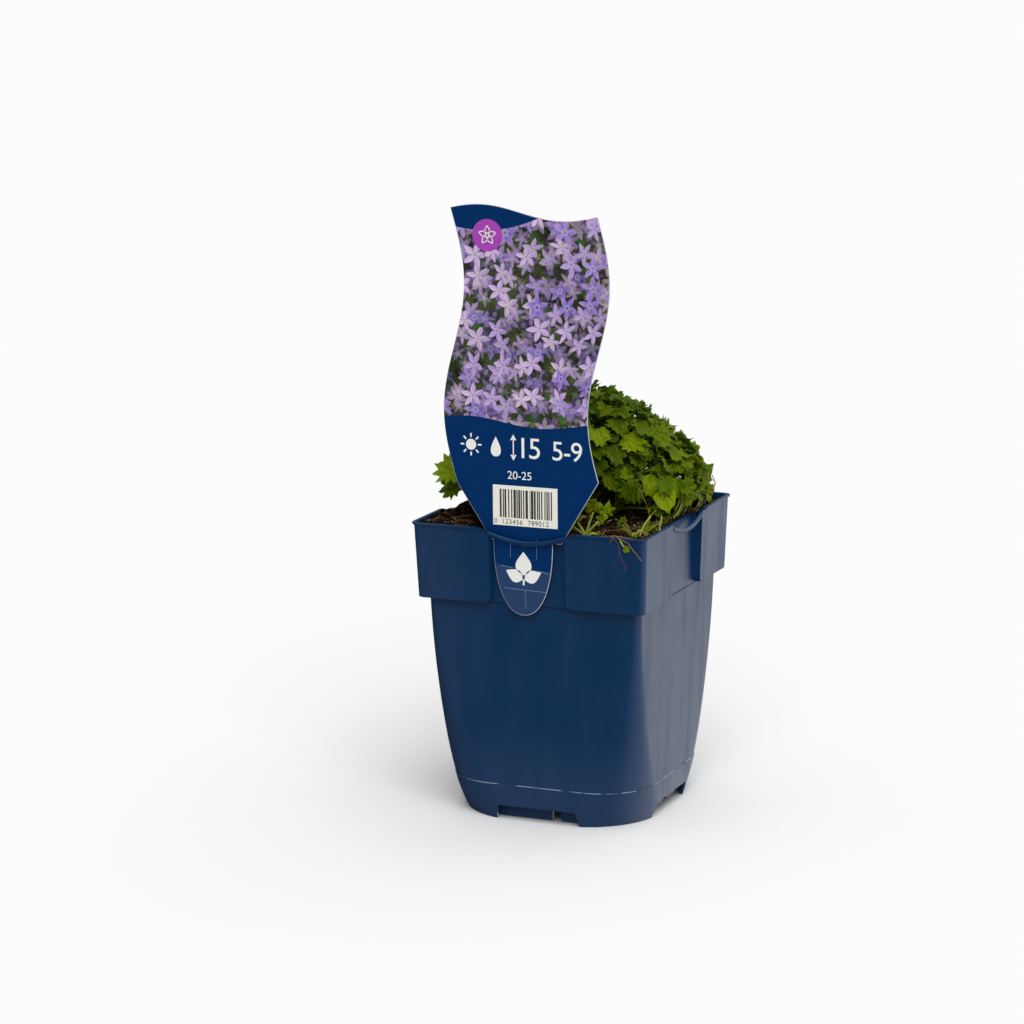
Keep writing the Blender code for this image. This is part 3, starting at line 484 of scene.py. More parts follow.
class Wiring:
    """Lays out a node tree with few words."""

    def __init__(self, tree):
        self.tree = tree

    def feed(self, socket, value):
        """Links a wire to the socket, or sets its value; a colour may have three numbers."""
        if isinstance(value, Wire):
            self.tree.links.new(value.socket, socket)
        elif socket.type == "RGBA" and len(value) == 3:
            socket.default_value = (*value, 1.0)
        else:
            socket.default_value = value

    def lay(self, kind, inputs, settings):
        made = self.tree.nodes.new("ShaderNode" + kind)
        for name, value in settings.items():
            setattr(made, name, value)
        for name, value in inputs.items():
            self.feed(made.inputs[name], value)
        return made

    def node(self, kind, inputs=None, **settings):
        """Lays a node and gives its outputs by name."""
        made = self.lay(kind, inputs or {}, settings)
        return {socket.name: Wire(self, socket) for socket in made.outputs}

    def math(self, operation, *values, clamp=False):
        settings = {"operation": operation, "use_clamp": clamp}
        return self.node("Math", dict(enumerate(values)), **settings)["Value"]

    def vector(self, operation, *values, scale=None):
        inputs = dict(enumerate(values))
        if scale is not None:
            inputs["Scale"] = scale
        made = self.node("VectorMath", inputs, operation=operation)
        return made["Value" if operation in ("LENGTH", "DISTANCE", "DOT_PRODUCT") else "Vector"]

    def blend(self, share, a, b, kind="MIX"):
        settings = {"data_type": "RGBA", "blend_type": kind}
        return Wire(self, self.lay("Mix", {0: share, 6: a, 7: b}, settings).outputs[2])

    def split(self, vector):
        made = self.lay("SeparateXYZ", {0: vector}, {})
        return [Wire(self, socket) for socket in made.outputs]

    def join(self, x, y):
        return self.node("CombineXYZ", {"X": x, "Y": y})["Vector"]

    def spin(self, vector, angle):
        inputs = {"Vector": vector, "Angle": angle}
        return self.node("VectorRotate", inputs, rotation_type="Z_AXIS")["Vector"]

    def grain(self, place, scale, detail=3.0, roughness=0.55):
        inputs = {"Vector": place, "Scale": scale, "Detail": detail, "Roughness": roughness}
        return self.node("TexNoise", inputs)["Fac"]


class Finish(Wiring):
    """A material: its wiring, its Principled shader and the object's coordinates."""

    def __init__(self, name, roughness, specular):
        self.material = bpy.data.materials.new(name)
        self.material.use_nodes = True
        super().__init__(self.material.node_tree)
        self.shader = self.tree.nodes["Principled BSDF"].inputs
        self.shader["Roughness"].default_value = roughness
        self.shader["Specular IOR Level"].default_value = specular
        self.place = self.node("TexCoord")["Object"]

    def effect(self, name, **inputs):
        """The outputs of one of the shared effects."""
        inputs = {"Place": self.place, **inputs}
        return self.node("Group", inputs, node_tree=bpy.data.node_groups[name])

    def read(self, name, output):
        return self.node("Attribute", attribute_name=name)[output]

    def coats(self, colour, *coats):
        """The colour under coats of other colours, each a mask and a colour."""
        for mask, coat in coats:
            colour = self.blend(mask, colour, coat)
        return colour

    def complete(self, colour, rough=None, relief=None, strength=0.0, distance=0.0):
        """Feeds the shader and gives the finished material."""
        self.feed(self.shader["Base Color"], colour)
        if rough:
            self.feed(self.shader["Roughness"], rough)
        if relief:
            inputs = {"Strength": strength, "Distance": distance, "Height": relief}
            self.feed(self.shader["Normal"], self.node("Bump", inputs)["Normal"])
        return self.material


def new_group(name, takes, gives):
    """A shader node group: its wiring, its inputs by name, and a function that feeds its outputs.

    takes maps each input to its value, or to None where it is a vector.
    """
    group = bpy.data.node_groups.new(name, "ShaderNodeTree")
    for socket, value in takes.items():
        kind = "NodeSocketVector" if value is None else "NodeSocketFloat"
        made = group.interface.new_socket(socket, in_out="INPUT", socket_type=kind)
        if value is not None:
            made.default_value = value
    for socket in gives:
        group.interface.new_socket(socket, in_out="OUTPUT", socket_type="NodeSocketFloat")
    wiring = Wiring(group)
    entry = group.nodes.new("NodeGroupInput")
    leave = group.nodes.new("NodeGroupOutput")

    def give(**values):
        for socket, value in values.items():
            wiring.feed(leave.inputs[socket], value)

    return wiring, {name: Wire(wiring, entry.outputs[name]) for name in takes}, give


def build_mottling():
    """Soft blotches of two sizes."""
    takes = {"Place": None, "Size": 0.01, "Seed": 0.0}
    wiring, takes, give = new_group("mottling", takes, ("Broad", "Fine"))
    share = 1.0 / takes["Size"]
    moved = wiring.vector("ADD", takes["Place"], takes["Seed"])
    broad = wiring.node("TexNoise", {"Vector": moved, "Scale": share, "Detail": 4.0})["Fac"]
    fine = wiring.node("TexNoise", {"Vector": moved, "Scale": share * 7.3})["Fac"]
    give(Broad=broad.step(0.3, 0.7), Fine=fine.step(0.25, 0.75))


def build_dirt_specks():
    """Ragged specks of many sizes, far apart."""
    takes = {"Place": None, "Spacing": 0.012, "Size": 0.0004}
    wiring, takes, give = new_group("dirt_specks", takes, ("Mask",))
    warped = wiring.node("TexNoise", {"Vector": takes["Place"], "Scale": 900.0})["Color"]
    shove = wiring.vector("SCALE", warped, scale=0.0012)
    spread = wiring.vector("ADD", takes["Place"], shove)
    inputs = {"Vector": spread, "Scale": 1.0 / takes["Spacing"], "Randomness": 1.0}
    cells = wiring.node("TexVoronoi", inputs)
    near = cells["Distance"] * takes["Spacing"]
    size = takes["Size"] * wiring.split(cells["Color"])[0].step(0.55, 1.0)
    give(Mask=(near - size).step(0.0, -0.00012))


def build_leaf_veins():
    """Veins that fan out from the stalk, the quilting between them and a fine net."""
    takes = {"Place": None, "Rays": 0.36}
    wiring, takes, give = new_group("leaf_veins", takes, ("Vein", "Quilt", "Net"))
    along, across, _ = wiring.split(takes["Place"])
    turns = wiring.math("ARCTAN2", across, along + 0.02) / takes["Rays"] + 0.5
    away = abs(wiring.math("FRACT", turns) - 0.5)
    reach = wiring.vector("LENGTH", takes["Place"])
    apart = away * takes["Rays"] * reach
    inputs = {"Vector": takes["Place"], "Scale": 11.0}
    net = wiring.node("TexVoronoi", inputs, feature="DISTANCE_TO_EDGE")["Distance"]
    vein = apart.step(0.026, 0.004) * reach.step(0.95, 0.25, 0.35, 1.0)
    give(Vein=vein, Quilt=away.step(0.0, 0.45), Net=net.step(0.10, 0.0))


def build_printed_bloom():
    """Starry blooms of five pointed petals, each turned and tipped in its own way."""
    takes = {"Place": None, "Spacing": 0.0135, "Shift": None, "Size": 0.46, "Blur": 0.05}
    gives = ("Mask", "Reach", "Gap", "Chance", "Light")
    wiring, takes, give = new_group("printed_bloom", takes, gives)
    spread = wiring.vector("SCALE", takes["Place"], scale=1.0 / takes["Spacing"])
    spread = wiring.vector("ADD", spread, takes["Shift"])
    inputs = {"Vector": spread, "Scale": 1.0, "Randomness": 0.62}
    cells = wiring.node("TexVoronoi", inputs, voronoi_dimensions="2D")
    local = wiring.vector("SUBTRACT", spread, cells["Position"])
    red, green, blue = wiring.split(cells["Color"])
    tipped = wiring.join(blue.step(0.0, 1.0, 1.45, 1.0), 1.0)
    tipped = wiring.vector("MULTIPLY", wiring.spin(local, green * 6.283), tipped)
    x, y, _ = wiring.split(wiring.spin(tipped, red * 6.283))
    size = takes["Size"] * red.step(0.0, 1.0, 0.82, 1.0)
    reach = wiring.vector("LENGTH", wiring.join(x, y)) / size
    turn = wiring.math("ARCTAN2", y, x) * (5 / (2 * pi))
    turn = wiring.math("FRACT", turn + 0.5)
    gap = abs(turn - 0.5) * 2.0
    edge = gap.line(0.32, -0.90).line(gap, 1.0)
    side = wiring.split(local)[0] / takes["Size"]
    lit = side.line(-0.30, (turn - 0.5) * 0.5)
    light = wiring.math("ADD", lit, 0.5, clamp=True)
    mask = (edge - reach).step(0.0, takes["Blur"])
    give(Mask=mask, Reach=reach, Gap=gap, Chance=green, Light=light)


def plastic_finish(settings):
    """Moulded plastic: an even sheen with faint flow marks, dust and specks of peat; painted light
    adds a reflection of the floor towards the foot, a sheen towards the left, a highlight along
    the seam and shade under the collar.
    """
    paint = Finish("pot_plastic", 0.36, 0.25)
    blotch = paint.effect("mottling", Size=0.028, Seed=3.1)
    tall = paint.vector("MULTIPLY", paint.place, (1.0, 1.0, 0.10))
    streak = paint.grain(tall, 150.0, 2.0).step(0.42, 0.72)
    x, _, z = paint.split(paint.place)
    # The seam round the foot, worn pale and partly a painted highlight, and painted shade under
    # the collar
    seam = abs(z - (PLINTH_TOP + 0.0001)).step(0.00026, 0.00012)
    seam_wear_and_highlight = seam * paint.grain(tall, 90.0, 4.0, 0.7).step(0.44, 0.56)
    # Painted shade just under the collar's overhang
    collar_shade = abs(z - (COLLAR_FOOT_Z - 0.0003)).step(0.0007, 0.0003)
    specks = paint.effect("dirt_specks", Spacing=0.0125, Size=0.00036)["Mask"]
    dust = paint.effect("dirt_specks", Spacing=0.0085, Size=0.00016)["Mask"]
    dusty = [value * 1.35 + 0.002 for value in settings.plastic]
    colour = paint.coats(
        settings.plastic,
        (streak * 0.30, dusty),
        (blotch["Broad"] * 0.20, dusty),
        # Painted reflection of the floor: lighter towards the foot
        (z.step(0.050, 0.0, 0.0, 0.60), (0.022, 0.050, 0.118)),
        # Painted sheen: lighter towards the left side
        (x.step(-0.015, -0.052, 0.0, 0.22), (0.030, 0.052, 0.104)),
        # The pale seam: partly wear, partly a painted highlight
        (seam_wear_and_highlight * 0.75, (0.24, 0.33, 0.44)),
        # Painted shade under the collar
        (collar_shade * 0.5, (0.002, 0.009, 0.026)),
        (specks * 0.8, (0.09, 0.035, 0.018)),
        (dust * 0.4, (0.22, 0.30, 0.38)),
    )
    rough = streak.line(0.10, blotch["Broad"].line(0.06, 0.30)) + specks * 0.35
    skin = paint.grain(paint.place, 2600.0, 2.0) + specks * 2.0
    return paint.complete(colour, collar_shade.line(0.35, rough), skin, 0.06, 0.00006)


def card_finish(name, colour, roughness):
    """Plain laminated card."""
    paint = Finish(name, roughness, 0.2)
    blotch = paint.effect("mottling", Size=0.02, Seed=1.7)
    toned = paint.blend(blotch["Broad"] * 0.6, colour, [value * 0.8 for value in colour])
    rough = blotch["Fine"].line(0.06, roughness)
    return paint.complete(toned, rough, blotch["Broad"], 0.06, 0.0002)


def printed_finish(settings):
    """The card's printed face: a bed of starry blooms between two plain blue fields."""
    paint = Finish("printed_card", 0.30, 0.05)
    x, _, z = paint.split(paint.place)
    flat = paint.join(x, z)
    blotch = paint.effect("mottling", Size=0.006, Seed=8.2)
    wide = paint.effect("mottling", Size=0.020, Seed=2.4)
    traits = {"Spacing": 0.0080, "Shift": (1.7, 5.2, 0.0), "Size": 0.30}
    leaves = paint.effect("printed_bloom", Place=flat, **traits)
    green = paint.blend(leaves["Chance"], (0.030, 0.120, 0.016), (0.240, 0.280, 0.090))
    picture = paint.coats(
        (0.004, 0.010, 0.003),
        (blotch["Broad"], (0.050, 0.075, 0.018)),
        (blotch["Fine"] * 0.45, (0.110, 0.120, 0.060)),
        (paint.grain(paint.place, 130.0).step(0.56, 0.66) * 0.7, (0.045, 0.170, 0.020)),
        (leaves["Mask"] * 0.75, green),
    )
    depths = paint.grain(paint.place, 42.0, 3.0).step(0.40, 0.62)
    for layer, (spacing, shift, size, blur, light, cover) in enumerate(BLOOM_LAYERS):
        if layer == GLOOM_LAYER:
            picture = paint.blend(depths * 0.75, picture, (0.34, 0.30, 0.46), "MULTIPLY")
            cover = depths.line(-0.55, 1.0)
        traits = {"Spacing": spacing, "Shift": shift, "Size": size, "Blur": blur}
        star = paint.effect("printed_bloom", Place=flat, **traits)
        reach, gap, chance = star["Reach"], star["Gap"], star["Chance"]
        violet = [value * light * k for value, k in zip(settings.bloom, (0.52, 0.48, 0.78))]
        lilac = [value * light * k for value, k in zip(settings.bloom, (1.62, 1.78, 1.04))]
        lilac = [min(0.9, value) for value in lilac]
        pip = paint.blend(chance, [value * 0.6 for value in violet], (0.55, 0.50, 0.42))
        petal = paint.coats(
            paint.blend(chance.step(0.1, 0.9, 0.10, 0.95), violet, lilac),
            (gap.step(0.45, 1.0) * 0.65, [value * 0.55 for value in violet]),
            (reach.step(0.35, 1.0) * 0.30, lilac),
            (gap.step(0.10, 0.0) * 0.45, violet),
            (reach.step(0.34, 0.16) * 0.35, (0.62, 0.62, 0.60)),
            (reach.step(0.14, 0.09) * min(1.0, light), pip),
        )
        dim = paint.blend(star["Light"], (0.55, 0.52, 0.64), (1.30, 1.30, 1.20))
        petal = paint.blend(1.0, petal, dim, "MULTIPLY")
        picture = paint.blend(star["Mask"] * cover, picture, petal)
    picture = paint.blend(wide["Broad"] * 0.40, picture, (0.62, 0.62, 0.80), "MULTIPLY")

    # The lower field's wavy top, the upper field's hollow edge and the round badge
    swing = paint.math("COSINE", (x - 0.006) * 92.4)
    low = (swing.line(-0.0019, 0.1796) - z).step(-PRINT_EDGE, PRINT_EDGE)
    brow = paint.math("POWER", x + 0.0205, 2.0).line(8.3, 0.2618)
    high = (z - brow).step(-PRINT_EDGE, PRINT_EDGE)
    speckle = paint.grain(paint.place, 900.0, 1.0) * 0.25
    # Lighter ground at the tongue's foot: partly wear, partly a painted reflection where the card
    # bends
    foot = (x.line(-0.08, 0.1161) - z).step(0.0, 0.0003) * 0.9
    ground = paint.coats(
        settings.card,
        (speckle, [value * 1.5 for value in settings.card]),
        (foot, (0.022, 0.050, 0.118)),
    )
    badge = paint.vector("DISTANCE", flat, (*BADGE, 0.0))
    badge = badge.step(BADGE_RADIUS, BADGE_RADIUS - 0.00015)
    field = paint.math("MAXIMUM", low, high)
    colour = paint.coats(picture, (field, ground), (badge, settings.disc))
    return paint.complete(colour, blotch["Broad"].line(0.06, 0.27), wide["Fine"], 0.05, 0.0003)


def peat_finish(settings):
    """Damp peat: near black with brown lumps and a few pale crumbs."""
    paint = Finish("peat", 0.9, 0.06)
    tone, warm, _ = paint.split(paint.read("tint", "Color"))
    coarse = paint.effect("mottling", Size=0.0032, Seed=4.0)
    peat = Vector(settings.peat)
    colour = paint.coats(
        peat * 0.28,
        (coarse["Broad"], peat * 1.35),
        (tone * coarse["Fine"], peat * 2.8),
        (warm, (0.36, 0.24, 0.12)),
    )
    lumps = paint.grain(paint.place, 2400.0, 4.0, 0.7)
    return paint.complete(colour, coarse["Fine"].line(0.25, 0.7), lumps, 0.7, 0.0004)


def fibre_finish():
    """Dry roots and fibres, from dark brown through rust to straw by their tint."""
    paint = Finish("fibre", 0.75, 0.12)
    tone, straw, green = paint.split(paint.read("tint", "Color"))
    blotch = paint.effect("mottling", Size=0.002, Seed=6.0)
    colour = paint.coats(
        (0.030, 0.011, 0.004),
        (tone, (0.240, 0.080, 0.020)),
        (straw, (0.520, 0.400, 0.230)),
        (green, (0.330, 0.400, 0.090)),
    )
    colour = paint.blend(blotch["Broad"] * 0.7, colour, (0.45, 0.40, 0.36), "MULTIPLY")
    rough = blotch["Fine"].line(0.2, 0.6)
    return paint.complete(colour, rough, paint.grain(paint.place, 5000.0), 0.4, 0.0001)


def leaf_finish(name, settings, stalk):
    """A toothed leaf: tint holds its tone, its youth and whether it is the underside."""
    paint = Finish(name, 0.30, 0.06)
    paint.shader["Subsurface Weight"].default_value = 0.5
    paint.shader["Subsurface Radius"].default_value = (0.7, 1.0, 0.15)
    paint.shader["Subsurface Scale"].default_value = 0.0012
    tone, youth, under = paint.split(paint.read("tint", "Color"))
    flat = paint.read("place", "Vector")
    veins = paint.effect("leaf_veins", Place=flat)
    blotch = paint.effect("mottling", Size=0.0045, Seed=5.5)
    rusty = paint.effect("mottling", Size=0.016, Seed=2.5)["Broad"]
    spots = paint.effect("dirt_specks", Spacing=0.0042, Size=0.00030)["Mask"]
    rim = paint.vector("DISTANCE", flat, (0.42, 0.0, 0.0)).step(0.34, 0.56)
    green = Vector(settings.green)
    ripe = youth.step(1.0, 1.12)
    level = paint.vector("MULTIPLY", flat, (1.0, 1.0, 0.0))
    pits = [paint.vector("DISTANCE", level, (*pit, 0.0)).step(0.046, 0.026) for pit in PITS]
    colour = paint.coats(
        green * 0.32,
        (tone, green * 2.2),
        # The lighter leaves turn a cooler bluish green: partly their own hue, partly a painted
        # waxy sheen
        (tone.step(0.50, 0.80) * 0.50, (0.021, 0.060, 0.010)),
        (blotch["Broad"] * 0.45, green * 0.5),
        (youth, settings.young),
        (ripe, (0.275, 0.345, 0.003)),
        (rim * 0.30, (0.100, 0.170, 0.003)),
        (veins["Vein"] * 0.34, (0.120, 0.190, 0.012)),
        (veins["Net"] * 0.10, (0.10, 0.17, 0.01)),
        (under * 0.40, (0.070, 0.125, 0.016)),
        (rusty.step(0.90, 0.98, 0.0, 0.45), (0.090, 0.035, 0.002)),
        (spots * 0.6, (0.012, 0.010, 0.002)),
        *[(pit * ripe, (0.020, 0.016, 0.002)) for pit in pits],
    )
    stalk = paint.blend(youth.step(0.0, 0.6), (0.110, 0.085, 0.022), stalk)
    colour = paint.blend(paint.split(flat)[2].step(0.0, -1.0), colour, stalk)
    relief = veins["Quilt"] * 0.7 - veins["Vein"] - veins["Net"] * 0.35
    return paint.complete(colour, blotch["Fine"].line(0.16, 0.22), relief, 0.70, 0.00045)


def mark_finish(name, colour, roughness=0.4):
    """Ink of one colour, with a little unevenness."""
    paint = Finish(name, roughness, 0.2)
    blotch = paint.effect("mottling", Size=0.003, Seed=9.0)
    darker = [value * 0.88 for value in colour]
    return paint.complete(paint.blend(blotch["Fine"], colour, darker))


def rounded_square(half, corner, z, steps):
    """Points of a square with round corners, anticlockwise seen from above."""
    points = []
    for quarter in range(4):
        start = pi / 2 * quarter
        centre = Vector((half - corner, half - corner, 0))
        centre.rotate(Matrix.Rotation(start, 3, "Z"))
        for step in range(steps + 1):
            angle = start + pi / 2 * step / steps
            offset = Vector((cos(angle), sin(angle), 0)) * corner
            points.append(centre + offset + Vector((0, 0, z)))
    return points


def loft_mesh(name, sections):
    """A closed skin through a stack of sections that have the same number of points."""
    bm = bmesh.new()
    rings = [[bm.verts.new(point) for point in section] for section in sections]
    count = len(rings[0])
    for lower, upper in zip(rings, rings[1:]):
        for i in range(count):
            j = (i + 1) % count
            bm.faces.new((lower[i], lower[j], upper[j], upper[i]))
    bm.faces.new(list(reversed(rings[0])))
    bm.faces.new(rings[-1])
    return mesh_from(bm, name)


def prism_mesh(name, outline, near_y, far_y):
    """An outline in the XZ plane, extruded along Y."""
    bm = bmesh.new()
    face = bm.faces.new([bm.verts.new((x, near_y, z)) for x, z in outline])
    pulled = bmesh.ops.extrude_face_region(bm, geom=[face])["geom"]
    moved = [part for part in pulled if isinstance(part, bmesh.types.BMVert)]
    bmesh.ops.translate(bm, verts=moved, vec=(0, far_y - near_y, 0))
    bmesh.ops.recalc_face_normals(bm, faces=bm.faces)
    return mesh_from(bm, name)


def on_four_sides(mesh):
    """The mesh repeated on each side of the pot, as one mesh."""
    bm = bmesh.new()
    for quarter in range(4):
        turned = mesh.copy()
        turned.transform(Matrix.Rotation(pi / 2 * quarter, 4, "Z"))
        bm.from_mesh(turned)
        bpy.data.meshes.remove(turned)
    bm.to_mesh(mesh)
    bm.free()
    return mesh


def body_half(z):
    """Half the body's width at that height."""
    drop = 1 - z / COLLAR_FOOT_Z
    return BODY_TOP_HALF - BODY_TAPER * drop - FOOT_TUCK * drop**9


def body_corner(z):
    """Radius of the body's corners at that height."""
    return BODY_TOP_CORNER + FOOT_CORNER_GROWTH * (1 - z / COLLAR_FOOT_Z) ** 1.93


def collar_half(z):
    """Half the collar's width at that height."""
    share = (z - COLLAR_FOOT_Z) / (POT_HEIGHT - COLLAR_FOOT_Z)
    return COLLAR_FOOT_HALF + (COLLAR_TOP_HALF - COLLAR_FOOT_HALF) * share


def rim_dip(x):
    """How far the rim sinks below its corners, at x from the middle of a side."""
    if abs(x) >= DIP_HALF:
        return 0.0
    return DIP_DEPTH * (1 - (x / DIP_HALF) ** 2) ** 1.5


def recess_outline(grow=0.0):
    """The recess seen from the front: it spreads at its foot round the panels' corners."""
    points = [(-RECESS_HALF_TOP - grow, POT_HEIGHT + 0.010)]
    foot = COLLAR_FOOT_Z - grow
    for step in range(9):
        angle = pi / 2 * step / 8
        x = RECESS_HALF_FOOT + PANEL_CORNER + grow - PANEL_CORNER * cos(angle)
        z = foot + PANEL_CORNER - PANEL_CORNER * sin(angle)
        points.append((-x, z))
    points.append((points[-1][0], foot - 0.004))
    return points + [(-x, z) for x, z in reversed(points)]


def dip_outline():
    """What the rim's dip takes away, seen from the front."""
    points = []
    for step in range(25):
        x = DIP_HALF * (step / 12 - 1)
        points.append((x, POT_HEIGHT - rim_dip(x)))
    points[0] = (points[0][0], POT_HEIGHT + 0.0002)
    points[-1] = (points[-1][0], POT_HEIGHT + 0.0002)
    return points + [(DIP_HALF, POT_HEIGHT + 0.006), (-DIP_HALF, POT_HEIGHT + 0.006)]


def box_outline(left, right, low, high):
    """A rectangle in the XZ plane."""
    return [(left, low), (right, low), (right, high), (left, high)]


class PotMaker:
    """Cuts the pot out of a moulded block with a stack of cutters."""

    def __init__(self, settings):
        self.wall = settings.wall
        self.steps = settings.corner_steps
        self.used = []

    def square(self, half, corner, z):
        return rounded_square(half, corner, z, self.steps)

    def body(self, z, inset=0.0):
        return self.square(body_half(z) - inset, body_corner(z) - inset, z)

    def collar(self, z, inset=0.0):
        return self.square(collar_half(z) - inset, COLLAR_CORNER - inset, z)

    def helper(self, name, mesh):
        made = put_object(name, mesh)
        self.used.append(made)
        return made

    def combine(self, obj, name, other, operation="DIFFERENCE"):
        """Cuts a mesh or helper out of the object, or joins it on."""
        if isinstance(other, bpy.types.Mesh):
            other = self.helper(name, other)
        modifier = obj.modifiers.new(name, "BOOLEAN")
        modifier.operation = operation
        modifier.object = other
        modifier.solver = "EXACT"

    def cut_sides(self, obj, name, outline, near_y, far_y):
        """Cuts the outline into the object on all four sides of the pot."""
        self.combine(obj, name, on_four_sides(prism_mesh(name, outline, near_y, far_y)))

    def block(self):
        """The pot's outside: foot, body, collar and lip."""
        sections = [self.body(z, -PLINTH_STEP) for z in (0.0, 0.0035, 0.008, 0.012, PLINTH_TOP)]
        sections += [self.body(PLINTH_TOP + 0.00015)]
        stations = [COLLAR_FOOT_Z * i / 22 for i in range(1, 23)]
        sections += [self.body(z) for z in stations if z > PLINTH_TOP + 0.001]
        lip_z = POT_HEIGHT - LIP_HEIGHT
        sections += [self.collar(COLLAR_FOOT_Z + 0.0002), self.collar(lip_z)]
        sections += [self.square(RIM_HALF, COLLAR_CORNER, z) for z in (lip_z + 0.0004, POT_HEIGHT)]
        return loft_mesh("pot_block", sections)

    def lower_cavity(self):
        """The inside, from the floor up to the rim between the recesses."""
        wall, upper = self.wall, RECESS_FACE - self.wall
        heights = (0.013, 0.02, 0.034, 0.045, 0.055, 0.075, COLLAR_FOOT_Z)
        sections = [self.square(body_half(FLOOR_TOP) - wall - 0.004, 0.022, FLOOR_TOP)]
        sections += [self.body(z, wall) for z in heights]
        tops = (COLLAR_FOOT_Z + 0.001, POT_HEIGHT + 0.012)
        sections += [self.square(upper, 0.0046, z) for z in tops]
        return loft_mesh("lower_cavity", sections)

    def collar_cavity(self):
        """The inside of the collar, without the blocks behind the recesses."""
        wall = self.wall
        sections = [self.collar(COLLAR_FOOT_Z + wall, wall), self.collar(POT_HEIGHT, wall)]
        top = self.square(COLLAR_TOP_HALF - wall, COLLAR_CORNER - wall, POT_HEIGHT + 0.011)
        made = self.helper("collar_cavity", loft_mesh("collar_cavity", [*sections, top]))
        self.cut_sides(made, "recess_blocks", recess_outline(wall), wall - RECESS_FACE, -0.070)
        return made

    def straps(self):
        """The round straps across the recesses."""
        path = []
        for i in range(25):
            x = STRAP_HALF * (2 * i / 24 - 1)
            y = -(STRAP_SEAT + STRAP_BOW * (1 - (x / STRAP_HALF) ** 2))
            path.append(Vector((x, y, POT_HEIGHT - rim_dip(x) - STRAP_RADIUS)))
        mesh = bpy.data.meshes.new("straps")
        points, faces = tube(path, [STRAP_RADIUS] * len(path), 14)
        mesh.from_pydata([tuple(point) for point in points], [], faces)
        return on_four_sides(mesh)

    def foot(self, pot):
        """Hollows the underside, leaving the notched skirt and the slotted inner ring."""
        sections = [self.body(z, self.wall) for z in (-0.002, 0.003, FLOOR_UNDERSIDE)]
        hollow = self.helper("underside", loft_mesh("underside", sections))
        inner = (RING_HALF - self.wall, RING_CORNER - self.wall)
        ends = [self.square(RING_HALF, RING_CORNER, z) for z in (RING_CLEARANCE, 0.012)]
        ring = self.helper("foot_ring", loft_mesh("foot_ring", ends))
        ends = [self.square(*inner, z) for z in (-0.004, 0.0112)]
        self.combine(ring, "ring_hole", loft_mesh("ring_hole", ends))
        slot = box_outline(SLOT_OFFSET - SLOT_HALF, SLOT_OFFSET + SLOT_HALF, -0.003, 0.0073)
        self.cut_sides(ring, "ring_slots", slot, -0.030, -0.0435)
        self.combine(hollow, "foot_ring_cut", ring)
        self.combine(pot, "underside_cut", hollow)
        notch = [(-NOTCH_HALF_FOOT, -0.002), (NOTCH_HALF_FOOT, -0.002)]
        notch += [(NOTCH_HALF_TOP, NOTCH_HEIGHT), (-NOTCH_HALF_TOP, NOTCH_HEIGHT)]
        self.cut_sides(pot, "notches", notch, -0.0425, -0.060)
        self.combine(pot, "drain_holes", self.drains())

    def drains(self):
        """Plugs for the round holes in the floor."""
        bm = bmesh.new()
        corners = [(DRAIN_SPREAD * x, DRAIN_SPREAD * y) for x in (-1, 1) for y in (-1, 1)]
        size = {"radius1": DRAIN_RADIUS, "radius2": DRAIN_RADIUS, "depth": 0.004}
        for x, y in [(0.0, 0.0), *corners]:
            at = Matrix.Translation((x, y, (FLOOR_UNDERSIDE + FLOOR_TOP) / 2))
            bmesh.ops.create_cone(bm, cap_ends=True, segments=28, matrix=at, **size)
        return mesh_from(bm, "drain_holes")

    def make(self, label_thickness, edge):
        """The pot's finished mesh, with its moulded edges softened."""
        pot = self.helper("pot_block", self.block())
        self.combine(pot, "lower_cavity", self.lower_cavity())
        self.combine(pot, "collar_cavity_cut", self.collar_cavity())
        slant = 0.0009 * (0.065 - RECESS_FACE) / (COLLAR_TOP_HALF - RECESS_FACE)
        ends = ((recess_outline(), -RECESS_FACE), (recess_outline(slant), -0.065))
        sections = [[Vector((x, y, z)) for x, z in outline] for outline, y in ends]
        self.combine(pot, "recesses", on_four_sides(loft_mesh("recesses", sections)))
        self.cut_sides(pot, "rim_dips", dip_outline(), -0.0515, -0.062)
        reach = RECESS_HALF_TOP + self.wall + 0.0003
        top = box_outline(-reach, reach, INNER_WALL_TOP, POT_HEIGHT + 0.008)
        self.cut_sides(pot, "inner_wall_tops", top, -0.047, -0.0522)
        half = label_thickness / 2 + GAP
        seat = box_outline(-0.0182, 0.0182, SHOULDER_Z - GAP, POT_HEIGHT + 0.007)
        self.cut_sides(pot, "label_seats", seat, LABEL_Y + half, LABEL_Y - half)
        self.combine(pot, "straps", self.straps(), "UNION")
        self.foot(pot)
        cut = self.helper("pot_cut", baked_mesh(pot))
        cut.data.shade_smooth()
        soften(cut, "moulded edges", edge, 35)
        cut.modifiers.new("flat panels", "WEIGHTED_NORMAL").weight = 80
        mesh = baked_mesh(cut)
        mesh.name = "nursery_pot"
        for obj in self.used:
            bpy.data.objects.remove(obj)
        return mesh


def side_wave(z):
    """How far the card's sides swing to the right at that height."""
    return LABEL_LEAN + WAVE_SIZE * sin(2 * pi * (z - WAVE_ZERO_Z) / WAVE_LENGTH)


def top_edge(x):
    """Height of the card's wavy top."""
    return LABEL_TOP_Z - TOP_WAVE_SIZE * sin(2 * pi * (x - TOP_WAVE_X) / TOP_WAVE_LENGTH)


def left_edge(z):
    """The card's left side at that height."""
    taper = SHOULDER_LEFT_X - TAPER_LEFT * (z - SHOULDER_Z)
    return max(-LABEL_HALF + side_wave(z), taper)


def right_edge(z):
    """The card's right side at that height."""
    return LABEL_HALF + side_wave(z)


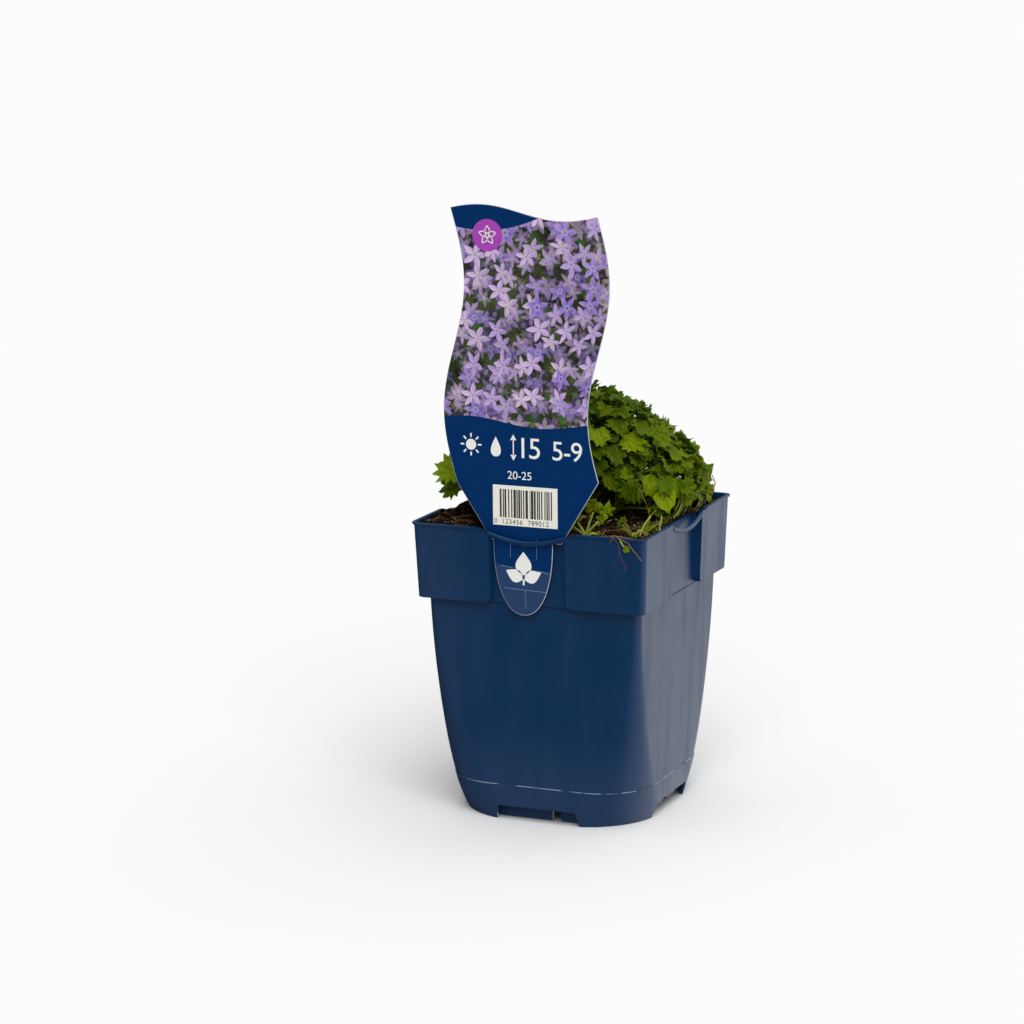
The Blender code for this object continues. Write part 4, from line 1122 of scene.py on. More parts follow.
def label_outline():
    """The card's outline in the XZ plane, from the foot of the tongue round by the right side."""
    points = []
    for step in range(-22, 23):
        along = sin(pi / 2 * step / 22)
        drop = (1 - abs(along) ** TONGUE_POWER) ** (1 / TONGUE_POWER)
        z = SHOULDER_Z - (SHOULDER_Z - TONGUE_FOOT_Z) * drop
        points.append((TONGUE_X + TONGUE_HALF * along, z))
    points.append((SHOULDER_RIGHT_X, SHOULDER_Z))
    top_right = top_edge(right_edge(LABEL_TOP_Z))
    for step in range(52):
        z = TAPER_TOP_Z + (top_right - TAPER_TOP_Z) * step / 51
        points.append((right_edge(z), z))
    right_x, left_x = right_edge(top_right), left_edge(top_edge(left_edge(LABEL_TOP_Z)))
    for step in range(1, 32):
        x = right_x + (left_x - right_x) * step / 32
        points.append((x, top_edge(x)))
    top_left = top_edge(left_x)
    for step in range(62):
        z = top_left + (SHOULDER_Z - top_left) * step / 61
        points.append((left_edge(z), z))
    return points


def make_card(settings):
    """The die-cut card: a printed face, a plain back and a pale cut edge."""
    near = LABEL_Y - settings.thickness / 2
    mesh = prism_mesh("picture_label", label_outline(), near, near + settings.thickness)
    obj = put_object("card", mesh)
    soften(obj, "cut edge", 0.00024, 60)
    finished = baked_mesh(obj)
    bpy.data.objects.remove(obj)
    finished.name = "picture_label"
    face = printed_finish(settings)
    back = card_finish("card_back", settings.card, 0.32)
    edge = card_finish("card_edge", (0.46, 0.48, 0.50), 0.5)
    card = link_object("picture_label", finished, face, edge, back, slot="label_card")
    for polygon in finished.polygons:
        outward = polygon.normal.y
        polygon.material_index = 0 if outward < -0.999 else 2 if outward > 0.999 else 1
    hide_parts("label")


def circle(x, z, radius, steps=32):
    turns = [2 * pi * i / steps for i in range(steps)]
    return [(x + radius * cos(turn), z + radius * sin(turn)) for turn in turns]


def turned(outline, angle, x, z):
    """The outline turned about the origin and moved to x, z."""
    c, s = cos(angle), sin(angle)
    return [(x + px * c - pz * s, z + px * s + pz * c) for px, pz in outline]


def petal_outline(length, width, steps=9):
    """A pointed oval that starts at the origin and points up."""
    right = []
    for i in range(steps + 1):
        t = i / steps
        across = width * sin(pi * t**0.8) * (1 - 0.25 * t)
        right.append((across, length * t))
    return right + [(-x, z) for x, z in reversed(right[1:-1])]


class Marks:
    """Thin plates of ink on the front of the card."""

    def __init__(self, depth, rise):
        self.near = LABEL_Y - depth
        self.rise = rise
        self.bm = bmesh.new()

    def take(self, mesh):
        self.bm.from_mesh(mesh)
        bpy.data.meshes.remove(mesh)

    def plate(self, outline):
        self.take(prism_mesh("plate", outline, self.near - self.rise, self.near))

    def stroke(self, start, end, width):
        a, b = Vector(start), Vector(end)
        side = Vector((a.y - b.y, b.x - a.x)).normalized() * width / 2
        self.plate([tuple(a - side), tuple(b - side), tuple(b + side), tuple(a + side)])

    def figures(self, text, x, z, size, spacing):
        """Plain figures, centred on x and standing on z."""
        curve = bpy.data.curves.new("figures", "FONT")
        curve.body = text
        curve.size = size
        curve.align_x = "CENTER"
        curve.space_character = spacing
        curve.extrude = self.rise / 2
        holder = put_object("figures", curve)
        bpy.context.view_layer.update()
        mesh = baked_mesh(holder)
        bpy.data.objects.remove(holder)
        mesh.transform(Matrix.Rotation(pi / 2, 4, "X"))
        mesh.transform(Matrix.Translation((x, self.near - self.rise / 2, z)))
        self.take(mesh)

    def finish(self, name, finish):
        bmesh.ops.remove_doubles(self.bm, verts=self.bm.verts, dist=1e-8)
        link_object(name, mesh_from(self.bm, name), finish, slot="label_card")


def make_signs(depth):
    """Sun, drop of water, height arrow, plain figures, flower badge and a sprig of leaves."""
    marks = Marks(depth, INK_RISE)
    marks.plate(circle(*SUN, 0.0024))
    for k in range(8):
        ray = box_outline(-0.00035, 0.00035, 0.0032, 0.0049)
        marks.plate(turned(ray, pi / 4 * k, *SUN))
    drop = []
    for i in range(32):
        angle = 2 * pi * i / 32
        pinch = sin(angle / 2) ** 1.4
        drop.append((0.0033 * sin(angle) * pinch, 0.0044 * cos(angle)))
    marks.plate(turned(drop, 0.0, *DROP))
    marks.stroke((ARROW_X, 0.1652), (ARROW_X, 0.1724), 0.0005)
    marks.plate([(-0.0078, 0.1720), (-0.0050, 0.1720), (ARROW_X, 0.1745)])
    marks.plate([(-0.0078, 0.1656), (ARROW_X, 0.1631), (-0.0050, 0.1656)])
    marks.figures("15", 0.0008, FIGURES_Z, 0.0128, 0.86)
    marks.figures("5-9", 0.0185, FIGURES_Z, 0.0118, 0.92)
    marks.figures("20-25", -0.0036, 0.1550, 0.0050, 1.0)
    for k in range(5):
        outline = turned(petal_outline(0.0042, 0.0013), 2 * pi * k / 5, *BADGE)
        for a, b in zip(outline, outline[1:] + outline[:1]):
            marks.stroke(a, b, 0.00042)
    marks.plate(turned(petal_outline(0.0104, 0.0042), 0.0, -0.0022, 0.1130))
    marks.plate(turned(petal_outline(0.0086, 0.0032), 1.12, -0.0027, 0.1110))
    marks.plate(turned(petal_outline(0.0086, 0.0032), -1.12, -0.0017, 0.1110))
    marks.stroke((-0.0022, 0.1086), (-0.0022, 0.1112), 0.0008)
    marks.finish("label_marks", mark_finish("white_ink", (0.78, 0.79, 0.76)))


def make_marks(settings):
    """Plain signs and figures on the card, its creases and a striped code panel."""
    front = settings.thickness / 2
    make_signs(front)
    creases = Marks(front, INK_RISE / 2)
    for crease in CREASES:
        creases.stroke(*crease)
    creases.finish("label_creases", mark_finish("worn_card", (0.15, 0.24, 0.38)))
    ground = Marks(front, INK_RISE)
    ground.plate(box_outline(*CODE_PANEL))
    ground.finish("code_ground", mark_finish("code_ground", (0.78, 0.77, 0.69), 0.45))
    ink = Marks(front + INK_RISE, 0.00003)
    rng = random.Random(41)
    x = -0.0130
    while x < 0.0108:
        width = CODE_BAR * rng.choice((1, 2, 2, 3, 4))
        ink.plate(box_outline(x, x + width, 0.1380, 0.1504))
        x += width + CODE_BAR * rng.choice((1, 1, 2, 2, 3))
    for text, middle in (("0", -0.0149), ("123456", -0.0073), ("789012", 0.0049)):
        ink.figures(text, middle, 0.1352, 0.0030, 1.12)
    ink.finish("code_stripes", mark_finish("grey_ink", (0.040, 0.036, 0.028)))


def soil_height(x, y):
    """The compost's top: heaped under the cushion, with small lumps."""
    heap = 0.0034 * exp(-((x + 0.012) ** 2 + (y - 0.006) ** 2) / 0.0011)
    broad = 0.0007 * sin(150 * x + 1.1) * cos(130 * y - 0.6)
    fine = 0.0005 * sin(420 * x - 2.0) * sin(390 * y + 0.9)
    return SOIL_Z + heap + broad + fine


def on_soil(x, y, rise=0.0):
    """The point on the compost's smooth top there, or as far above it as rise."""
    return Vector((x, y, soil_height(x, y) + rise))


def mound(x, y):
    """Loose peat on the left side, where it comes up to the rim."""
    edge = min(1.0, max(0.0, (-x - 0.026) / 0.022))
    heap = 0.0022 * exp(-((x + 0.040) ** 2 / 0.00016 + (y + 0.004) ** 2 / 0.00040))
    return 0.0019 * edge * edge * (3 - 2 * edge) + heap


def soil_reach(turn, z):
    """How far the compost goes from the middle at that angle, at or below its top."""
    c, s = abs(cos(turn)), abs(sin(turn))
    large, small = max(c, s), min(c, s)
    if z > COLLAR_FOOT_Z + 0.002:
        half, corner = collar_half(z) - WALL - GAP, COLLAR_CORNER - WALL
        inner = RECESS_FACE - WALL - GAP
        recess = RECESS_HALF_TOP + 0.0040
    else:
        half, corner = body_half(z) - WALL - GAP, body_corner(z) - WALL
        inner, recess = half, 0.0
    reach = half / large
    flat = half - corner
    if small * reach > flat:
        root = (large + small) * flat
        reach = root + sqrt(max(root * root - 2 * flat * flat + corner * corner, 0.0))
    if recess and small / large * inner < recess:
        reach = min(reach, inner / large)
    return reach


def make_soil_body():
    """The compost as one block: a crumbly top over plain sides that fill the pot."""
    rings = 88
    turns = [2 * pi * i / 360 for i in range(360)]
    points, faces = [(0.0, 0.0, soil_height(0, 0))], []
    for ring in range(1, rings + 1):
        share = ring / rings
        for turn in turns:
            reach = soil_reach(turn, SOIL_Z) * share
            x, y = reach * cos(turn), reach * sin(turn)
            rough = 0.0011 * noise.fractal(Vector((x, y, 0.3)) * 420, 0.9, 2.1, 4)
            z = soil_height(x, y) + mound(x, y) + rough * min(1.0, (1 - share) * 12 + 0.15)
            points.append((x, y, z))
    levels = (0.126, COLLAR_FOOT_Z + 0.0021, COLLAR_FOOT_Z, 0.06, 0.034, 0.0130, FLOOR_TOP + GAP)
    for level in levels:
        for turn in turns:
            reach = soil_reach(turn, level) - (0.004 if level < 0.0130 else 0.0)
            points.append((reach * cos(turn), reach * sin(turn), level))
    count = len(turns)
    last = len(points) - count
    for i in range(count):
        j = (i + 1) % count
        faces.append((0, 1 + i, 1 + j))
        for low in range(1, last, count):
            faces.append((low + i, low + count + i, low + count + j, low + j))
    faces.append(tuple(reversed(range(last, last + count))))
    heap = Heap()
    heap.add(points, faces, (0.25, 0.0, 0.0))
    return heap


def open_ground(rng):
    """A random place on the compost, clear of the pot's walls."""
    while True:
        x, y = rng.uniform(-0.0515, 0.0515), rng.uniform(-0.0515, 0.0515)
        in_recess = min(abs(x), abs(y)) < 0.0215 and max(abs(x), abs(y)) > 0.0475
        if not in_recess and abs(x) + abs(y) < 0.101:
            return x, y


def lump(rng, centre, radius):
    """A crumb of peat: a small ball with pushed-in sides."""
    golden = (1 + sqrt(5)) / 2
    corners = [
        (0, 1, golden), (0, -1, golden), (0, 1, -golden), (0, -1, -golden),
        (1, golden, 0), (-1, golden, 0), (1, -golden, 0), (-1, -golden, 0),
        (golden, 0, 1), (golden, 0, -1), (-golden, 0, 1), (-golden, 0, -1),
    ]
    sides = [
        (0, 1, 8), (0, 8, 4), (0, 4, 5), (0, 5, 10), (0, 10, 1), (3, 2, 9), (3, 9, 6),
        (3, 6, 7), (3, 7, 11), (3, 11, 2), (1, 6, 8), (8, 6, 9), (8, 9, 4), (4, 9, 2),
        (4, 2, 5), (5, 2, 11), (5, 11, 10), (10, 11, 7), (10, 7, 1), (1, 7, 6),
    ]
    points = [Vector(corner).normalized() for corner in corners]
    faces, middles = [], {}

    def middle(a, b):
        key = (min(a, b), max(a, b))
        if key not in middles:
            points.append((points[a] + points[b]).normalized())
            middles[key] = len(points) - 1
        return middles[key]

    for a, b, c in sides:
        ab, bc, ca = middle(a, b), middle(b, c), middle(c, a)
        faces += [(a, ab, ca), (b, bc, ab), (c, ca, bc), (ab, bc, ca)]
    seed = Vector((rng.uniform(0, 50), rng.uniform(0, 50), rng.uniform(0, 50)))
    stretch = Vector((rng.uniform(0.7, 1.3), rng.uniform(0.7, 1.3), rng.uniform(0.5, 0.9)))
    placed = []
    for point in points:
        size = radius * (1 + 0.55 * noise.noise(point * 1.7 + seed))
        placed.append(centre + Vector([point[k] * stretch[k] for k in range(3)]) * size)
    return placed, faces


def make_crumbs(settings, rng):
    """Loose lumps of peat."""
    crumbs = Heap()
    for _ in range(settings.crumbs):
        x, y = open_ground(rng)
        radius = 0.00032 + 0.0011 * rng.random() ** 3
        centre = Vector((x, y, soil_height(x, y) + mound(x, y) + radius * 0.25))
        points, faces = lump(rng, centre, radius)
        pale = 1.0 if rng.random() < 0.02 else 0.0
        crumbs.add(points, faces, (rng.random(), pale * 0.8, 0.0))
    return crumbs


def make_fibres(settings, rng):
    """Thin roots that loop out of the peat."""
    fibres = Heap()
    for _ in range(settings.fibres):
        x, y = open_ground(rng)
        run = 0.002 + 0.011 * rng.random() ** 2
        turn = rng.uniform(0, 2 * pi)
        span = Vector((cos(turn), sin(turn), 0)) * run / 2
        ends = []
        for sign in (-1, 1):
            ex, ey = x + span.x * sign, y + span.y * sign
            ex, ey = max(-0.0505, min(0.0505, ex)), max(-0.0478, min(0.0478, ey))
            ends.append(Vector((ex, ey, soil_height(ex, ey) + mound(ex, ey) - 0.0003)))
        bend = (ends[0] + ends[1]) / 2 + Vector((-span.y, span.x, 0)) * rng.uniform(-0.8, 0.8)
        bend.z += rng.uniform(0.0008, 0.0030)
        path = arch(ends[0], bend, ends[1], 8)
        for k in range(1, 8):
            path[k] += noise.noise_vector(path[k] * 700) * 0.00035
        thick = rng.uniform(0.00008, 0.00022)
        straw = 1.0 if rng.random() < 0.10 else rng.random() * 0.25
        radii = [thick * (1 - 0.05 * k) for k in range(9)]
        fibres.tube(path, radii, 4, (rng.random(), straw, 0.0))
    return fibres


def make_compost(settings):
    """The block of compost, its crumbs and its fibres."""
    peat = peat_finish(settings)
    fibre = fibre_finish()
    body = make_soil_body().link("compost", peat, "compost")
    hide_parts("soil")
    rng = random.Random(settings.seed)
    noise.seed_set(settings.seed)
    make_crumbs(settings, rng).link("peat_crumbs", peat, "compost")
    make_fibres(settings, rng).link("peat_fibres", fibre, "compost")


class Leaf:
    """A leaf's traits; later also its axes, its stalk and the trees that keep it clear."""

    depth, point, ruffle, wide = 1.0, 1.01, 1.0, 1.08

    def __init__(self, **traits):
        vars(self).update(traits)


def blade_outline(length, teeth):
    """Half of the blade's edge, from the stalk to the tip, as (along, across) points.

    The blade is broad and heart shaped, and its teeth point towards the tip.
    """
    centre = 0.40 * length
    half = [(0.0, STALK_HALF)]
    for index in range(teeth, 0, -1):
        tooth = BLADE_SWEEP * index / (teeth + 0.5)
        notch = tooth - BLADE_SWEEP / (teeth + 0.5) * 0.42
        for angle, share in ((tooth, 1.0), (notch, 0.80)):
            stretch = 0.10 if angle < pi / 2 else -0.04
            reach = length * share * (0.50 + stretch * cos(angle) ** 2)
            along = centre + reach * cos(angle)
            across = reach * sin(angle) * LEAF_WIDTH
            half.append((along, across))
    half.append((length, 0.0))
    return half


def blade_rise(along, across, leaf):
    """The blade's height over its flat plane: folded up from the midrib, drooping to the tip."""
    return leaf.fold * abs(across) - leaf.droop * max(along, 0.0) ** 2 / leaf.length


def leaf_solid(leaf, thickness, grow=1.0):
    """A toothed blade and its three-sided stalk as one closed skin: points and faces."""
    half = blade_outline(leaf.length * grow, leaf.teeth)
    edge = half + [(along, -across) for along, across in reversed(half[:-1])]
    middle = (0.42 * leaf.length * grow, 0.0)
    base, midrib, up = leaf.base, leaf.midrib, leaf.up
    side = up.cross(midrib)

    def raised(flat, lift):
        along, across = flat
        rise = blade_rise(along, across, leaf) + lift
        return base + midrib * along + side * across + up * rise

    # The top face has two corners at the stalk, and the underside has one between them, set
    # further in so that the stalk can leave downwards.
    last = len(edge) - 1
    heel = (STALK_SLANT * thickness, 0.0)
    points = [raised(flat, thickness / 2) for flat in [*edge, middle]]
    points += [raised(flat, -thickness / 2) for flat in [heel, *edge[1:last], middle]]
    top_middle, under, under_middle = last + 1, last + 2, 2 * last + 2
    faces = []
    for i in range(last):
        below, next_below = under + i, under + (i + 1) % last
        faces.append((top_middle, i + 1, i))
        faces.append((under_middle, below, next_below))
        faces.append((i, i + 1, next_below, below))
    faces.append((top_middle, 0, last))
    ring = [last, 0, under]
    width, depth = STALK_HALF * grow, thickness / 2
    for place, stalk_side, stalk_up in leaf.stalk:
        fresh = [len(points) + i for i in range(3)]
        for across, rise in ((-width, depth), (width, depth), (0, -depth)):
            points.append(place + stalk_side * across + stalk_up * rise)
        for i in range(3):
            j = (i + 1) % 3
            faces.append((ring[i], ring[j], fresh[j], fresh[i]))
        ring = fresh
    faces.append(tuple(ring))
    return points, faces


def plan_reach(turn):
    """The cushion seen from above: a rounded square that falls short of the front right corner."""
    power = CUSHION_SQUARENESS
    square = (abs(cos(turn)) ** power + abs(sin(turn)) ** power) ** (-1 / power)
    away = remainder(turn - BARE_TURN, 2 * pi) / BARE_SPREAD
    return square * (1 - BARE_DEPTH * exp(-away * away))


def cushion_point(share, turn):
    """A point on the cushion's surface and its outward normal.

    share runs from 0 at the top to 1 at the lowest leaves, and turn is the angle round it.
    """
    polar = acos(1 - share * share * (1 - cos(LOWEST_LEAF)))
    flat = plan_reach(turn)

    def place(angle_down, angle_round, reach):
        out = sin(angle_down) * reach
        return Vector(
            (
                CUSHION_X + CUSHION_HALF_X * out * cos(angle_round),
                CUSHION_Y + CUSHION_HALF_Y * out * sin(angle_round),
                CUSHION_FOOT_Z + CUSHION_HEIGHT * cos(angle_down),
            )
        )

    here = place(polar, turn, flat)
    down = place(polar + 0.02, turn, flat) - here
    level = Vector((-CUSHION_HALF_X * sin(turn), CUSHION_HALF_Y * cos(turn), 0))
    normal = down.cross(level)
    if normal.dot(here - Vector((CUSHION_X, CUSHION_Y, SOIL_Z))) < 0:
        normal.negate()
    return here, normal.normalized(), down.normalized()


def stem_places():
    """Where the shoots' stems stand."""
    places = []
    for k in range(SHOOT_COUNT):
        turn = k * GOLDEN_ANGLE
        reach = sqrt((k + 0.5) / SHOOT_COUNT) * ROOT_SPREAD * plan_reach(turn)
        x = CUSHION_X + CUSHION_HALF_X * reach * cos(turn)
        y = CUSHION_Y + CUSHION_HALF_Y * reach * sin(turn)
        places.append((x, y))
    return places


def nearest_shoot(share, turn):
    """The shoot that a leaf at that place on the cushion belongs to."""
    def apart(k):
        reach = sqrt((k + 0.5) / SHOOT_COUNT)
        other = k * GOLDEN_ANGLE
        x = share * cos(turn) - reach * cos(other)
        y = share * sin(turn) - reach * sin(other)
        return x * x + y * y

    return min(range(SHOOT_COUNT), key=apart)


def route_stalk(leaf, stem, sway=0.0):
    """The stalk's stations from the blade down to its stem, along a curve that leaves it upwards.

    sway pushes the curve sideways, round whatever stands in its way.
    """
    head = leaf.base
    foot = on_soil(*stem, leaf.foot_height)
    lean = Vector((head.x - foot.x, head.y - foot.y, 0))
    foot += lean.normalized() * leaf.foot_reach
    bend = foot + Vector((0, 0, 0.55 * (head.z - foot.z))) + (head - foot) * 0.15
    bend += Vector((-lean.y, lean.x, 0)).normalized() * sway
    leaf.stalk = []
    for share in (0.45, 1.0):
        place = head * (1 - share) ** 2 + bend * 2 * share * (1 - share) + foot * share**2
        heading = (bend - head) * 2 * (1 - share) + (foot - bend) * 2 * share
        heading.normalize()
        side = leaf.up.cross(leaf.midrib)
        side = (side - heading * side.dot(heading)).normalized()
        leaf.stalk.append((place, side, side.cross(heading)))
    leaf.route = (head, bend, foot)


def folds_back(leaf):
    """Whether the stalk would have to double back on leaving the blade."""
    away = (leaf.stalk[0][0] - leaf.base).normalized()
    slant = -(leaf.midrib + leaf.up * STALK_SLANT).normalized()
    return away.dot(slant) < 0.25


def aim_leaf(leaf, lift, swing):
    """Sets the leaf's base and axes: it hangs down the cushion with its tip standing off."""
    here, normal, down = cushion_point(leaf.share, leaf.turn + swing)
    level = normal.cross(down)
    heading = down * cos(leaf.veer) + level * sin(leaf.veer)
    midrib = heading * cos(leaf.tilt) + normal * sin(leaf.tilt)
    up = normal * cos(leaf.tilt) - heading * sin(leaf.tilt)
    up.rotate(Matrix.Rotation(leaf.roll, 3, midrib))
    leaf.midrib, leaf.up = midrib.normalized(), up.normalized()
    leaf.base = here + normal * lift - midrib * leaf.length * 0.35


def in_bounds(points):
    """Leaves stay above the compost, inside the rim's outline and behind the label."""
    for p in points:
        if p.z < soil_height(p.x, p.y) + 0.0006:
            return False
        if max(abs(p.x), abs(p.y)) > RIM_HALF + 0.0010:
            return False
        if p.z < POT_HEIGHT + 0.0006 and max(abs(p.x), abs(p.y)) > RECESS_FACE - WALL - 0.0012:
            return False
        if p.y < LABEL_Y + 0.0030:
            return False
    return True


def seedling_leaves():
    """The leaves of the solids' seedlings."""
    grown = []
    for k, (stem, wanted) in enumerate(SEEDLINGS):
        for offset, heading, length in wanted:
            midrib = Vector(heading).normalized()
            up = Vector((0, -0.35, 1))
            up = (up - midrib * up.dot(midrib)).normalized()
            leaf = Leaf(length=length, teeth=2, fold=0.30, droop=0.15, midrib=midrib, up=up)
            leaf.foot_height, leaf.foot_reach = 0.0006, 0.0005
            leaf.shoot = f"seedling {k}"
            leaf.base = on_soil(*stem) + Vector(offset)
            route_stalk(leaf, stem)
            record_trees(leaf)
            grown.append(leaf)
    return grown


def grow_leaves(settings, seedlings):
    """The cushion's leaves, set from the lowest up, each lifted until it clears the others."""
    rng = random.Random(settings.seed)
    leaves = [
        Leaf(
            share=sqrt((i + 0.5) / settings.leaves),
            turn=i * GOLDEN_ANGLE + rng.uniform(-0.12, 0.12),
            length=rng.uniform(*LEAF_LENGTH) * settings.scale,
            teeth=TEETH,
            tilt=radians(rng.uniform(12, 38)),
            veer=radians(rng.uniform(-32, 32)),
            roll=radians(rng.uniform(-20, 20)),
            fold=rng.uniform(0.10, 0.26),
            droop=rng.uniform(0.05, 0.22),
            foot_height=rng.uniform(0.0005, 0.0024),
            foot_reach=0.0015,
        )
        for i in range(settings.leaves)
    ]
    stems = stem_places()
    pegs = [peg_tree(stem) for stem in stems]
    placed = list(seedlings)
    for leaf in reversed(leaves):
        leaf.shoot = nearest_shoot(leaf.share, leaf.turn)
        others = [peg for k, peg in enumerate(pegs) if k != leaf.shoot]
        if settle(leaf, stems, placed, others):
            placed.append(leaf)
    return placed[len(seedlings) :]


def peg_tree(stem):
    """A stem's peg with room round it, to keep the other shoots' leaves off it."""
    centre = on_soil(*stem)
    reach = STEM_RADIUS + CLEARANCE
    corners = []
    for z in (-0.002, STEM_HEIGHT + CLEARANCE):
        for i in range(6):
            turn = pi / 3 * i
            corners.append(centre + Vector((reach * cos(turn), reach * sin(turn), z)))
    sides = [(i, (i + 1) % 6, (i + 1) % 6 + 6, i + 6) for i in range(6)]
    return BVHTree.FromPolygons(corners, [*sides, (6, 7, 8, 9, 10, 11)])


def settle(leaf, stems, placed, pegs):
    """Tries the leaf higher and higher, a little to each side, until nothing is in its way."""
    for attempt in range(LIFT_TRIES):
        for swing, sway in SIDESTEPS:
            aim_leaf(leaf, (attempt - 3) * LIFT_STEP, swing)
            route_stalk(leaf, stems[leaf.shoot], sway)
            if folds_back(leaf):
                continue
            thick = BLADE_THICKNESS + 2 * CLEARANCE
            wide = leaf_solid(leaf, thick, 1.07)
            if not in_bounds(wide[0][:-6]):
                continue
            tree = BVHTree.FromPolygons(*wide)
            if any(tree.overlap(peg) for peg in pegs):
                continue
            blade = blade_tree(leaf, *wide)
            if not any(touches(leaf, tree, blade, other) for other in placed):
                record_trees(leaf)
                return True
    return False


def record_trees(leaf):
    """Keeps the leaf's shapes, for those that come after it to stay clear of."""
    points, faces = leaf_solid(leaf, BLADE_THICKNESS)
    leaf.tree = BVHTree.FromPolygons(points, faces)
    leaf.blade_tree = blade_tree(leaf, points, faces)
    leaf.box = box_round(points[: -3 * len(leaf.stalk)])


def blade_tree(leaf, points, faces):
    """The blade alone, without its stalk."""
    stalk_faces = 3 * len(leaf.stalk) + 1
    return BVHTree.FromPolygons(points, faces[:-stalk_faces])


def touches(leaf, tree, blade, other):
    """Whether the leaf meets the other one; the stalks of one shoot may meet each other."""
    if leaf.shoot == other.shoot:
        return bool(tree.overlap(other.blade_tree) or blade.overlap(other.tree))
    return bool(tree.overlap(other.tree))


def box_round(points):
    """The least and the greatest of the points along each axis."""
    return [(min(p[k] for p in points), max(p[k] for p in points)) for k in range(3)]


def grow_small_leaves(settings, placed):
    """Small leaves at all angles in the gaps, each pushed in until its blade has room."""
    rng = random.Random(settings.seed + 1)
    stems = stem_places()
    grown = []
    for i in range(settings.small_leaves):
        leaf = Leaf(
            share=sqrt((i + 0.5) / settings.small_leaves),
            turn=i * GOLDEN_ANGLE + 0.9 + rng.uniform(-0.1, 0.1),
            length=rng.uniform(0.0050, 0.0092),
            teeth=2,
            fold=rng.uniform(0.05, 0.35),
            droop=rng.uniform(0.0, 0.25),
            foot_height=rng.uniform(0.0005, 0.0024),
            foot_reach=0.0015,
        )
        leaf.shoot = nearest_shoot(leaf.share, leaf.turn)
        if tuck_in(leaf, stems[leaf.shoot], placed + grown, rng):
            grown.append(leaf)
    return grown


def tuck_in(leaf, stem, placed, rng):
    """Turns the leaf and pushes it in until its blade has room."""
    lift = rng.uniform(0.0002, 0.0026)
    for attempt in range(10):
        leaf.tilt = radians(rng.uniform(0, 70))
        leaf.veer = radians(rng.uniform(-110, 110))
        leaf.roll = radians(rng.uniform(-65, 65))
        aim_leaf(leaf, lift - 0.0014 * attempt, 0.0)
        route_stalk(leaf, stem)
        if folds_back(leaf):
            continue
        points, faces = leaf_solid(leaf, 0.0006)
        blade_points = points[: -3 * len(leaf.stalk)]
        if not in_bounds(blade_points):
            continue
        own = box_round(blade_points)
        blade = blade_tree(leaf, points, faces)
        for other in placed:
            if all(a[0] < b[1] and b[0] < a[1] for a, b in zip(own, other.box)):
                if blade.overlap(other.blade_tree):
                    break
        else:
            record_trees(leaf)
            return True
    return False


def toothed_edge(teeth, depth, point):
    """Half of a finely toothed edge, from the tip back: (angle, share of the smooth reach)."""
    gap = BLADE_SWEEP / (teeth + 0.5)
    half = [(0.0, point)]
    for k in range(teeth):
        for offset, share in ((0.12, 0.92), (0.36, 0.84), (0.58, 0.73), (0.80, 0.87)):
            half.append((gap * (k + offset), 1 - (1 - share) * depth))
        half.append((gap * (k + 1), 1.0))
    half += [(gap * (teeth + 0.25), 0.93), (BLADE_SWEEP, 0.88), (radians(169), 0.84)]
    return half


def fine_blade(leaf, teeth, rings, thickness, rng):
    """A thin quilted blade with a toothed edge: points, faces and each point's place on it."""
    length = leaf.length
    base, midrib, up = leaf.base, leaf.midrib, leaf.up
    side = up.cross(midrib)
    half = toothed_edge(teeth, leaf.depth * rng.uniform(0.7, 1.25), leaf.point)
    edge = half + [(pi, 1.0)] + [(2 * pi - angle, share) for angle, share in half[:0:-1]]
    jitter = [rng.uniform(-0.09, 0.03) for _ in edge]
    ruffle = leaf.ruffle
    phase, curl = rng.uniform(0, 6.28), rng.uniform(0.045, 0.105) * ruffle
    waves = rng.choice((3, 4, 5))
    wide = LEAF_WIDTH * leaf.wide
    seed = Vector((rng.uniform(0, 90), rng.uniform(0, 90), 0.0))
    top, low, places = [], [], []

    def put(along, across, share, angle):
        fold = 1.7 * leaf.fold * (hypot(across, 0.05 * length) - 0.05 * length)
        rise = fold - leaf.droop * max(along, 0.0) ** 2 / length
        rise += length * curl * sin(waves * angle + phase) * share**2.5
        ray = atan2(across, along + 0.02 * length) / 0.36
        rise += length * 0.020 * abs(sin(pi * ray)) * sin(pi * min(share, 0.96))
        flat = Vector((along, across, 0.0)) / length
        rise += length * 0.130 * ruffle * noise.noise(flat * 3.0 + seed) * (0.3 + share)
        rise += length * 0.050 * ruffle * noise.noise(flat * 7.5 + seed)
        thick = thickness * (1 - 0.5 * share * share) / 2
        here = base + midrib * along + side * across
        top.append(here + up * (rise + thick))
        low.append(here + up * (rise - thick))
        places.append((along / length, across / length, share))

    put(0.40 * length, 0.0, 0.0, 0.0)
    for share in rings:
        sharp = share**3
        for (angle, tooth), rough in zip(edge, jitter):
            folded = angle if angle <= pi else 2 * pi - angle
            if folded == pi:
                reach = 0.40
            else:
                reach = 0.50 + (0.10 if folded < pi / 2 else -0.04) * cos(folded) ** 2
                reach *= 0.89 * (1 - sharp) + tooth * sharp + rough * sharp
            reach *= length * share
            across = reach * sin(angle) * wide
            put(0.40 * length + reach * cos(angle), across, share, angle)
    count, total = len(edge), len(top)
    starts = [1 + ring * count for ring in range(len(rings))]
    faces = []
    for i in range(count):
        j = (i + 1) % count
        faces.append((0, 1 + i, 1 + j))
        faces.append((total, total + 1 + j, total + 1 + i))
        for a, b in zip(starts, starts[1:]):
            faces.append((a + i, b + i, b + j, a + j))
            faces.append((total + a + j, total + b + j, total + b + i, total + a + i))
        rim = starts[-1]
        faces.append((rim + i, total + rim + i, total + rim + j, rim + j))
    return top + low, faces, places + places, total


